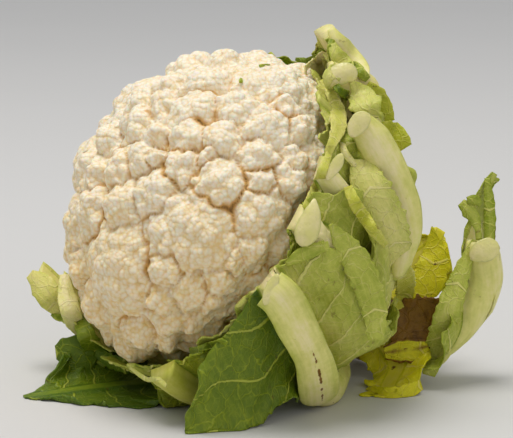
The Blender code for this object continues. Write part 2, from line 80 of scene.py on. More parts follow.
# %% [markdown]
# ## Floor and light
#
# The head lies on a wide, pale table top that fills the whole picture, so no horizon shows. One wide
# light hangs above and a little to the left, a weak one fills in from the front, and a broad room light
# and a pale sky keep the far table from going dark. The plain view transform keeps the greens and the
# ivory as strong as they are in daylight.

# %% The table top
TABLE_HALF_WIDTH = 14.0
TABLE_BELOW = 0.0002

bm = bmesh.new()
bmesh.ops.create_grid(bm, x_segments=2, y_segments=2, size=TABLE_HALF_WIDTH)
bmesh.ops.translate(bm, verts=bm.verts, vec=(0, 0, -TABLE_BELOW))
mesh = bpy.data.meshes.new("table_top")
bm.to_mesh(mesh)
bm.free()
table_top = bpy.data.objects.new("table_top", mesh)
bpy.context.scene.collection.objects.link(table_top)
print("table top", 2 * TABLE_HALF_WIDTH, "m wide")

# %% Tools for materials


def new_material(name, roughness):
    """A material, its shader, and its nodes and links."""
    made = bpy.data.materials.new(name)
    made.use_nodes = True
    shader = made.node_tree.nodes["Principled BSDF"]
    shader.inputs["Roughness"].default_value = roughness
    return made, shader, made.node_tree


def node(tree, kind, settings=(), **inputs):
    """A node of some kind, with its settings and with values or sockets put into its inputs."""
    made = tree.nodes.new("ShaderNode" + kind)
    for name, value in dict(settings).items():
        setattr(made, name, value)
    for name, value in inputs.items():
        key = int(name[1:]) if name[0] == "i" and name[1:].isdigit() else name.replace("_", " ")
        if isinstance(value, bpy.types.NodeSocket):
            tree.links.new(value, made.inputs[key])
        else:
            made.inputs[key].default_value = value
    return made


def maths(tree, operation, a, b=0.0, c=0.0):
    """The result of a sum: an operation on up to three values."""
    return node(tree, "Math", {"operation": operation}, i0=a, i1=b, i2=c).outputs[0]


def mixed(tree, share, a, b):
    """Colour a, with a share of colour b over it."""
    return node(tree, "Mix", {"data_type": "RGBA"}, i0=share, i6=a, i7=b).outputs[2]


def stepped(tree, value, low, high, to_low=0.0, to_high=1.0):
    """A value that goes smoothly from to_low to to_high while the given one goes from low to high."""
    settings = {"interpolation_type": "SMOOTHSTEP"}
    made = node(tree, "MapRange", settings, Value=value, From_Min=low, From_Max=high)
    made.inputs["To Min"].default_value = to_low
    made.inputs["To Max"].default_value = to_high
    return made.outputs[0]


def noise_of(tree, vector, scale, detail=3.0, roughness=0.5):
    """A value that drifts smoothly from place to place, around one half."""
    made = node(tree, "TexNoise", Vector=vector, Scale=scale, Detail=detail, Roughness=roughness)
    return made.outputs["Fac"]


def object_coordinates(tree):
    """Where a point lies on its object, in metres."""
    return node(tree, "TexCoord").outputs["Object"]


def attribute(tree, name):
    """The value a mesh carries under this name."""
    return node(tree, "Attribute", {"attribute_name": name}).outputs["Fac"]


def bumped(tree, height, depth, shader):
    """The height in shares of depth, given to the shader as a bump."""
    made = node(tree, "Bump", Strength=1.0, Distance=depth, Height=height)
    tree.links.new(made.outputs["Normal"], shader.inputs["Normal"])


# %% The table top's material
TABLE_COLOUR = (0.65, 0.645, 0.64, 1)
TABLE_SHADE = (0.63, 0.625, 0.62, 1)

table_paper, shader, tree = new_material("table_paper", 0.8)
patches = noise_of(tree, object_coordinates(tree), scale=2.0)
tree.links.new(mixed(tree, patches, TABLE_COLOUR, TABLE_SHADE), shader.inputs["Base Color"])
table_top.data.materials.append(table_paper)
print("made", table_paper.name)

# %% Lights


def lamp(name, kind, place, aim, power, colour=(1, 1, 1)):
    """A light of one kind at a place, turned to face aim."""
    data = bpy.data.lights.new(name, kind)
    data.energy = power
    data.color = colour
    made = bpy.data.objects.new(name, data)
    turn = (Vector(aim) - Vector(place)).to_track_quat("-Z", "Y").to_matrix().to_4x4()
    made.matrix_world = Matrix.Translation(place) @ turn
    bpy.context.scene.collection.objects.link(made)
    return data


WARM = (1.0, 0.97, 0.92)
lamp("key_light", "AREA", (-0.3, -0.1, 2.3), HEAD_CENTRE, 25.0, WARM).size = 1.2
lamp("fill_light", "AREA", (0.9, -1.7, 0.9), HEAD_CENTRE, 4.0, WARM).size = 1.4
lamp("room_light", "SUN", (-0.5, 0.2, 2.0), HEAD_CENTRE, 0.66).angle = 0.7
sky = bpy.data.worlds.new("sky")
sky.use_nodes = True
sky.node_tree.nodes["Background"].inputs["Color"].default_value = (0.98, 0.99, 1.0, 1)
sky.node_tree.nodes["Background"].inputs["Strength"].default_value = 0.42
bpy.context.scene.world = sky
bpy.context.scene.view_settings.view_transform = "Standard"
print("three lights and a pale sky")

# %% [markdown]
# ## The curd
#
# The white part of a cauliflower is a flower that never opened. It is built in levels: large domes, the
# florets, carry knobs, the knobs carry buds, and these carry granules of about two millimetres. Each
# level is the same rule at a smaller size. Points are spread over the surface, each point owns the part
# that is nearest to it, and the surface is pushed in where two such parts meet. Sculpting by hand could
# do that too, but a rule gives the thousands of granules that make it real. The shape starts as an
# icosphere, whose even triangles take relief well in every direction.

# %% The head's own frame
AXIS = Vector((-0.7106, -0.4240, 0.5615)).normalized()
FRONT = Vector((0.4270, -0.8942, -0.1348))


def head_matrix():
    """From the head's own frame, where Z runs up through stalk and curd, to where the head lies."""
    front = (FRONT - AXIS * FRONT.dot(AXIS)).normalized()
    turn = Matrix((front, AXIS.cross(front), AXIS)).transposed().to_4x4()
    return Matrix.Translation(HEAD_CENTRE) @ turn


to_world = head_matrix()
print("the head's axis points along", [round(value, 2) for value in AXIS])

# %% Where the florets are
CURD_RADIUS = 0.0825
CURD_RISE = 0.060
CURD_DROP = 0.047

# The curd is a little flatter at the left of the picture, where it lay against its neighbour
PRESSED = 0.075
PRESSED_WAY = np.array((to_world.to_3x3().inverted() @ Vector((-0.95, 0.0, -0.30))).normalized())
PRESSED_REACH = 0.22

# At the upper right of the picture it swells a little
SWOLLEN = 0.065
SWOLLEN_WAY = np.array((to_world.to_3x3().inverted() @ Vector((0.68, 0.0, 0.73))).normalized())
SWOLLEN_REACH = 0.052

# The florets on the side that is seen: azimuth and tilt from the axis in degrees, and width
FLORETS = (
    (69, 70, 0.034), (52, 52, 0.022), (78, 41, 0.024), (98, 32, 0.017), (117, 23, 0.017),
    (57, 35, 0.024), (81, 24, 0.014), (34, 47, 0.020), (44, 65, 0.025), (48, 81, 0.016),
    (30, 65, 0.018), (35, 34, 0.019), (89, 13, 0.017), (41, 20, 0.012), (13, 17, 0.017),
    (16, 25, 0.009), (14, 36, 0.019), (24, 45, 0.011), (14, 54, 0.027), (20, 70, 0.018),
    (26, 83, 0.020), (34, 82, 0.014), (-6, 31, 0.022), (-22, 10, 0.017), (-83, 22, 0.022),
    (-34, 24, 0.020), (-9, 56, 0.046), (11, 76, 0.031), (0, 82, 0.018), (-8, 78, 0.012),
    (-16, 79, 0.014), (-24, 83, 0.013), (-27, 73, 0.019), (-27, 58, 0.019), (-37, 68, 0.015),
    (-42, 78, 0.017), (-54, 47, 0.044), (-57, 78, 0.018), (-49, 88, 0.012), (-36, 86, 0.009),
    (163, 10, 0.016), (-107, 11, 0.016), (55, 74, 0.016),
)
DOME_SPACING = 0.024
KNOB_SPACING = 0.0098
BUD_SPACING = 0.0047
FLORET_SEED = 11

# The seeds are chosen among this many even places. A wide floret holds its neighbours off a little less
# than its width says, and a narrow one a little more.
DOME_CHOICES = 2400
KNOB_CHOICES = 14000
SWELLING = 0.85


def lattice(count):
    """Directions spread evenly over a sphere."""
    k = np.arange(count)
    z = 1 - (2 * k + 1) / count
    turn = k * math.pi * (3 - math.sqrt(5))
    r = np.sqrt(1 - z * z)
    return np.stack([r * np.cos(turn), r * np.sin(turn), z], 1)


def curd_base(directions):
    """Points and outward normals of the smooth curd, for directions from its centre."""
    rise = np.where(directions[:, 2:] > 0, CURD_RISE, CURD_DROP)
    axes = np.concatenate([np.full((len(directions), 2), CURD_RADIUS), rise], 1)
    normals = directions / axes
    pressed = PRESSED * np.exp(-((1 - directions @ PRESSED_WAY) / PRESSED_REACH) ** 2)
    swollen = SWOLLEN * np.exp(-((1 - directions @ SWOLLEN_WAY) / SWOLLEN_REACH) ** 2)
    points = directions * axes * (1 - pressed + swollen)[:, None]
    return points, normals / np.linalg.norm(normals, axis=1)[:, None]


def scattered(points, spacing, random, seeds, sizes):
    """The seeds, and some of the points between them, with sizes that vary, each about spacing apart."""
    for k in random.permutation(len(points)):
        size = random.uniform(0.8, 1.25)
        apart = np.linalg.norm(seeds - points[k], axis=1)
        if (apart > spacing * (sizes + size) / 2).all():
            seeds = np.vstack([seeds, points[k]])
            sizes = np.append(sizes, size)
    return seeds, sizes


# %% The relief of the levels

# How deep the pillows' sides fall, and how deep the creases between them are
PILLOW = 0.0037
KNOB_PILLOW = 0.0009
BUD_PILLOW = 0.00025
CREASE = 0.0010
KNOB_CREASE = 0.0003
BUD_CREASE = 0.00005
CREASE_REACH = 0.0016

# Beside a crease between florets, the buds stand out more
EDGE_PILLOW = 0.0004
EDGE_REACH = 0.006

# How far a crease wanders, and over what length
WOBBLE = 0.0028
WOBBLE_LENGTH = 0.0065

# Below this height, under the leaves, the curd is smooth
UNDERSIDE = -0.036
UNDERSIDE_FADE = 0.012


def wobbly(points, most, length):
    """The points moved about by a smooth noise."""
    return points + most * np.array([noise.noise_vector(Vector(point) / length) for point in points])


def nearest_two(points, seeds, sizes):
    """How far the two nearest seeds are from each point, each measured by its size."""
    tree = KDTree(len(seeds))
    for k, seed in enumerate(seeds):
        tree.insert(seed, k)
    tree.balance()
    near = (tree.find_n(point, 5) for point in points)
    return np.array([sorted(apart / sizes[k] for _, k, apart in found)[:2] for found in near])


def pillow(apart, spacing):
    """How far down its pillow's side a point lies: 0 on top and about 1 where two pillows meet."""
    return np.minimum(2 * apart[:, 0] / spacing, 1.25) ** 2


def crease_of(apart, reach=CREASE_REACH):
    """1 in the line where two pillows meet, falling to 0 beside it."""
    return np.exp(-(apart[:, 1] - apart[:, 0]) / reach)


def floret_share(heights):
    """1 over the florets, falling to 0 on the bare underside."""
    return np.clip((heights - UNDERSIDE) / UNDERSIDE_FADE, 0, 1)


# %% Seeds of the three levels

# The vector noise that bends the creases starts from the clock unless it is seeded
noise.seed_set(FLORET_SEED)
random = np.random.default_rng(FLORET_SEED)
azimuth, tilt, width = np.array(FLORETS).T
azimuth, tilt = np.radians(azimuth), np.radians(tilt)
seen = np.stack([np.sin(tilt) * np.cos(azimuth), np.sin(tilt) * np.sin(azimuth), np.cos(tilt)], 1)
widths = (width / DOME_SPACING) ** SWELLING
points = curd_base(lattice(DOME_CHOICES))[0]
domes = scattered(points, DOME_SPACING, random, curd_base(seen)[0], widths)
points = curd_base(lattice(KNOB_CHOICES))[0]
knobs = scattered(points, KNOB_SPACING, random, points[:1], np.ones(1))
buds = scattered(points, BUD_SPACING, random, points[:1], np.ones(1))
print(len(domes[0]), "florets,", len(knobs[0]), "knobs and", len(buds[0]), "buds")

# %% [markdown]
# Every point of the curd belongs to the nearest floret, knob and bud. Before it is sorted, the point is
# moved about by a smooth noise, so the creases wander as on the real curd, some deeper than others. The
# triangles are halved again where the curd is bare, because its buds need them there, and left coarse
# where leaves cover it. How deep a point lies is kept as an attribute, so that the material can paint
# shade into the creases. The granules, the fourth level, are left to the material.

# %% The smooth curd, and what each of its points belongs to
BARE_TILT = 0.12
UNEVEN_LENGTH = 0.02
CREASE_STRENGTH = (0.72, 0.95, 1.3)
CREASE_SPREAD = 0.9

bm = bmesh.new()
bmesh.ops.create_icosphere(bm, subdivisions=7, radius=1.0)
bare = [e for e in bm.edges if min(v.co.z for v in e.verts) > BARE_TILT]
bmesh.ops.subdivide_edges(bm, edges=bare, cuts=1, use_grid_fill=True)
smooth, normals = curd_base(np.array([v.co.normalized() for v in bm.verts]))
share = floret_share(smooth[:, 2])
by_dome = nearest_two(wobbly(smooth, WOBBLE, WOBBLE_LENGTH), *domes)
by_knob = nearest_two(wobbly(smooth, WOBBLE / 2, WOBBLE_LENGTH / 2), *knobs)
by_bud = nearest_two(smooth, *buds)
uneven = np.array([noise.noise(Vector(point) / UNEVEN_LENGTH) for point in smooth])
weakest, usual, strongest = CREASE_STRENGTH
crease = crease_of(by_dome) * np.clip(usual + CREASE_SPREAD * uneven, weakest, strongest)
knob_crease = crease_of(by_knob)
bud_crease = crease_of(by_bud)
print(len(smooth), "points on the curd")

# %% Pressing the relief in


def pressed_in(bm, points, base, sink):
    """The points sunk along normals halfway between the smooth curd's and those of the relief so far."""
    for vertex, point in zip(bm.verts, points):
        vertex.co = point
    bm.normal_update()
    between_them = np.array([v.normal for v in bm.verts]) + base
    inwards = -between_them / np.linalg.norm(between_them, axis=1)[:, None]
    return points + inwards * sink[:, None]


points = smooth - normals * (share * PILLOW * pillow(by_dome, DOME_SPACING))[:, None]
sink = KNOB_PILLOW * pillow(by_knob, KNOB_SPACING) + KNOB_CREASE * knob_crease + CREASE * crease
points = pressed_in(bm, points, normals, share * sink)
sink = (BUD_PILLOW + EDGE_PILLOW * crease_of(by_dome, EDGE_REACH)) * pillow(by_bud, BUD_SPACING)
points = pressed_in(bm, points, normals, share * (sink + BUD_CREASE * bud_crease))
for vertex, point in zip(bm.verts, points):
    vertex.co = point
print("pressed in by up to", round(1000 * np.linalg.norm(points - smooth, axis=1).max(), 1), "mm")

# %% The curd's piece
# The heights over the table between which the material paints light: whiter above, cream shade below
LIGHT_HEIGHT_LOW = 0.03
LIGHT_HEIGHT_RISE = 0.11


def add_attribute(mesh, name, values):
    """Give the mesh one value for each of its points."""
    mesh.attributes.new(name, "FLOAT", "POINT").data.foreach_set("value", np.asarray(values, np.float32))


mesh = bpy.data.meshes.new("curd_head")
bm.to_mesh(mesh)
bm.free()
mesh.transform(to_world)
mesh.shade_smooth()
add_attribute(mesh, "crease", share * crease)
add_attribute(mesh, "knob_crease", share * knob_crease)
add_attribute(mesh, "bud_crease", share * bud_crease)
add_attribute(mesh, "bare", share)
# Each point's height, which the material turns into painted light
add_attribute(mesh, "crown", [(v.co.z - LIGHT_HEIGHT_LOW) / LIGHT_HEIGHT_RISE for v in mesh.vertices])
curd = bpy.data.objects.new("curd_head", mesh)
bpy.context.scene.collection.objects.link(curd)
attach(curd, "root")
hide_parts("curd")
print("curd of", sum(len(p.vertices) - 2 for p in mesh.polygons), "triangles")

# %% [markdown]
# ### The curd's skin
#
# A fresh curd is ivory. Its colour also carries painted light: a highlight on top of its granules, tan
# shade in its creases, where light bounces from side to side, and cream shade on its lower side. Granules
# are the fourth level: each is the part of the surface nearest to one point of a cell pattern, raised like
# a pearl by the bump. That is finer than triangles could be. Light enters the flesh a few millimetres,
# which is what subsurface scattering gives.

# %% The curd's material
IVORY = (0.94, 0.85, 0.67, 1)
# Cream, painted as shade on the lower side of the curd, and where the tone drifts
LOW_SHADE_CREAM = (0.89, 0.73, 0.45, 1)
# A painted highlight on the granules' tops, and painted shade between granules and in the small creases
GRANULE_HIGHLIGHT = (0.96, 0.90, 0.78, 1)
SMALL_GAP_SHADE = (0.86, 0.60, 0.22, 1)
# Painted shade in the creases between florets, darkest in the deepest pits
FLORET_CREASE_SHADE = (0.64, 0.33, 0.055, 1)
DEEP_PIT_SHADE = (0.16, 0.07, 0.012, 1)
GRANULES = 470.0
GRANULE_HEIGHT = 0.0007

curd_skin, shader, tree = new_material("curd_skin", 0.6)
place = object_coordinates(tree)
cells = node(tree, "TexVoronoi", Vector=place, Scale=GRANULES, Randomness=0.85)
from_top = cells.outputs["Distance"]
between_granules = stepped(tree, from_top, 0.42, 0.85)

# Ivory, with painted cream shade below and drifting, a painted highlight on the granules' tops and painted
# tan shade in the gaps where they meet
drift = maths(tree, "SUBTRACT", noise_of(tree, place, scale=28.0), 0.5)
painted_light_and_drift = maths(tree, "MULTIPLY_ADD", drift, 0.8, attribute(tree, "crown"))
colour = mixed(tree, stepped(tree, painted_light_and_drift, 0.1, 1.0), LOW_SHADE_CREAM, IVORY)
highlight_share = stepped(tree, from_top, 0.6, 0.2, 0, 0.6)
highlight_share = maths(tree, "MULTIPLY", highlight_share, stepped(tree, painted_light_and_drift, 0.0, 0.9, 0.4, 1))
colour = mixed(tree, highlight_share, colour, GRANULE_HIGHLIGHT)
gap_shade_share = maths(tree, "MULTIPLY", between_granules, stepped(tree, painted_light_and_drift, 0.0, 1.0, 0.75, 0.4))
colour = mixed(tree, gap_shade_share, colour, SMALL_GAP_SHADE)

# Painted shade in the creases of the three levels, tan between florets and brown in the deepest pits
colour = mixed(tree, stepped(tree, attribute(tree, "bud_crease"), 0.5, 1.0, 0, 0.3), colour, SMALL_GAP_SHADE)
colour = mixed(tree, stepped(tree, attribute(tree, "knob_crease"), 0.5, 1.0, 0, 0.6), colour, SMALL_GAP_SHADE)
colour = mixed(tree, stepped(tree, attribute(tree, "crease"), 0.35, 1.1, 0, 0.9), colour, FLORET_CREASE_SHADE)
colour = mixed(tree, stepped(tree, attribute(tree, "crease"), 0.95, 1.25, 0, 0.8), colour, DEEP_PIT_SHADE)
tree.links.new(colour, shader.inputs["Base Color"])

# Each granule is a pearl, with a very fine grain on it
fine = noise_of(tree, place, scale=900.0, detail=2.0)
tree.links.new(maths(tree, "MULTIPLY_ADD", fine, 0.15, 0.52), shader.inputs["Roughness"])
pearl = maths(tree, "MULTIPLY", maths(tree, "MULTIPLY", from_top, from_top), -1.0)
pearl = maths(tree, "MULTIPLY", pearl, attribute(tree, "bare"))
bumped(tree, maths(tree, "MULTIPLY_ADD", fine, 0.1, pearl), GRANULE_HEIGHT, shader)
shader.inputs["Subsurface Weight"].default_value = 0.3
shader.inputs["Subsurface Radius"].default_value = (0.003, 0.0016, 0.0008)
shader.inputs["Subsurface Scale"].default_value = 1.0
shader.inputs["Specular IOR Level"].default_value = 0.35
curd.data.materials.append(curd_skin)
print("made", curd_skin.name)

# %% [markdown]
# ## The stalk
#
# The stalk is a stump as thick as a thumb, cut off flat. Its skin is brown where leaves were pulled off,
# and its cut foot shows a corky ring round pale pith. A stump is a turned thing, so a profile is spun
# round the axis, and a little noise takes the lathe's evenness away.

# %% The stalk's mesh
STALK_RADIUS = 0.020
STALK_TOP = -0.0476
STALK_BOTTOM = -0.129
STALK_STEPS = 72
STALK_RINGS = 40
FOOT_RINGS = 8
ROUNDING = 0.001
BARK_SCALE = 160
BARK_ROUGHNESS = 0.03
FOOT_ROUGHNESS = 0.0004

# The foot is hollowed by a millimetre inside its rounded edge
sides = np.linspace(STALK_TOP - ROUNDING, STALK_BOTTOM + 3 * ROUNDING, STALK_RINGS)
foot = np.linspace(STALK_RADIUS - 5 * ROUNDING, 0.0, FOOT_RINGS)
profile = [(0.0, STALK_TOP), (STALK_RADIUS - ROUNDING, STALK_TOP)]
profile += [(STALK_RADIUS, z) for z in sides]
profile += [(STALK_RADIUS - ROUNDING, STALK_BOTTOM + ROUNDING), (STALK_RADIUS - 3 * ROUNDING, STALK_BOTTOM)]
profile += [(r, STALK_BOTTOM + ROUNDING) for r in foot]

bm = bmesh.new()
corners = [bm.verts.new((r, 0, z)) for r, z in profile]
edges = [bm.edges.new(pair) for pair in zip(corners, corners[1:])]
bmesh.ops.spin(
    bm, geom=corners + edges, axis=(0, 0, 1), cent=(0, 0, 0), angle=2 * math.pi,
    steps=STALK_STEPS, use_merge=True,
)
bmesh.ops.remove_doubles(bm, verts=bm.verts, dist=0.00001)
bmesh.ops.recalc_face_normals(bm, faces=bm.faces)
for vertex in bm.verts:
    rough = noise.fractal(vertex.co * BARK_SCALE, 0.8, 2.0, 4)
    out = Vector((vertex.co.x, vertex.co.y, 0))
    if vertex.co.z > STALK_BOTTOM + 2 * ROUNDING:
        vertex.co -= out * BARK_ROUGHNESS * (0.5 + rough)
    else:
        vertex.co.z += FOOT_ROUGHNESS * rough
mesh = bpy.data.meshes.new("stalk_stump")
bm.to_mesh(mesh)
bm.free()
add_attribute(mesh, "radius", [math.hypot(v.co.x, v.co.y) / STALK_RADIUS for v in mesh.vertices])
add_attribute(mesh, "foot", [float(v.co.z < STALK_BOTTOM + 2.5 * ROUNDING) for v in mesh.vertices])
mesh.transform(to_world)
mesh.shade_smooth()
stalk = bpy.data.objects.new("stalk_stump", mesh)
bpy.context.scene.collection.objects.link(stalk)
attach(stalk, "root")
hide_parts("stalk")
print("stalk of", len(mesh.polygons), "faces")

# %% The stalk's material
PITH = (0.74, 0.66, 0.44, 1)
CORK_RING = (0.45, 0.30, 0.12, 1)
STALK_TAN = (0.42, 0.27, 0.09, 1)
STALK_BROWN = (0.17, 0.085, 0.018, 1)

stalk_skin, shader, tree = new_material("stalk_skin", 0.7)
place = object_coordinates(tree)
drift = noise_of(tree, place, scale=90.0, detail=5.0, roughness=0.65)
bark = mixed(tree, stepped(tree, drift, 0.4, 0.62), STALK_TAN, STALK_BROWN)
ring = stepped(tree, attribute(tree, "radius"), 0.62, 0.9)
cut = mixed(tree, ring, PITH, CORK_RING)
strings = noise_of(tree, place, scale=600.0)
cut = mixed(tree, stepped(tree, strings, 0.45, 0.75, 0, 0.5), cut, CORK_RING)
colour = mixed(tree, attribute(tree, "foot"), bark, cut)
tree.links.new(colour, shader.inputs["Base Color"])
tree.links.new(maths(tree, "MULTIPLY_ADD", drift, 0.3, 0.5), shader.inputs["Roughness"])
bumped(tree, noise_of(tree, place, scale=350.0, detail=4.0, roughness=0.6), 0.0006, shader)
stalk.data.materials.append(stalk_skin)
print("made", stalk_skin.name)

# %% [markdown]
# ## The leaves
#
# A cauliflower leaf is one thing: a fat midrib, which is round on its back, and a thin blade on each
# side. Every leaf here is one sheet that follows a smooth route from the stalk outwards, and most of
# them are trimmed at the height of the curd, as a grocer does. The table below gives each leaf's route
# and sizes. They are the ones the plain solids were made from, so each new leaf starts where its solid
# is. Values in a row run from the leaf's base to its tip.

# %% The table of leaves


def leaf(name, kind, **sizes):
    """One leaf. Left and right are the sides of lower and of higher azimuth, seen from the stalk.

    route: the midrib's inner face, as corners of radius, azimuth and height in the head's frame.
    left, right: how far the blade reaches. drop: how far short of the tip its two edges stop.
    rib, depth: half the rib's width, and its thickness. The rib is cut off at rib_end of the length.
    flare_left, flare_right: how far the edges stand away from the head.
    wave: the height, the count and the start of the waves along the edges.
    hug: the radius the blade curls to. At 0 it lies round the head instead.
    roll: how far the leaf is turned about its own midrib.
    """
    plain = {
        "drop": (0.0, 0.0), "rib_end": 1.0, "flare_left": (0.0, 0.0), "flare_right": (0.0, 0.0),
        "wave": (0.0015, 2.0, 0.0), "hug": 0.0, "roll": (0.0, 0.0),
    }
    return {"name": name, "kind": kind, **plain, **sizes}


def collar(name, kind, azimuths, height, left=(0.018, 0.032, 0.034), right=(0.018, 0.03, 0.03)):
    """A small leaf pressed against the curd's rim, with the azimuths of its base, its bend and its tip."""
    base, bend, tip = azimuths
    return leaf(
        "collar_" + name, kind,
        route=((0.0208, base, -0.052), (0.044, base, -0.052), (0.064, base, -0.04),
               (0.079, bend, -0.02), (0.0835, tip, height)),
        left=(0.006, 0.008, *left), right=(0.006, 0.008, *right),
        rib=(0.005, 0.004, 0.003), depth=(0.004, 0.003, 0.002),
    )


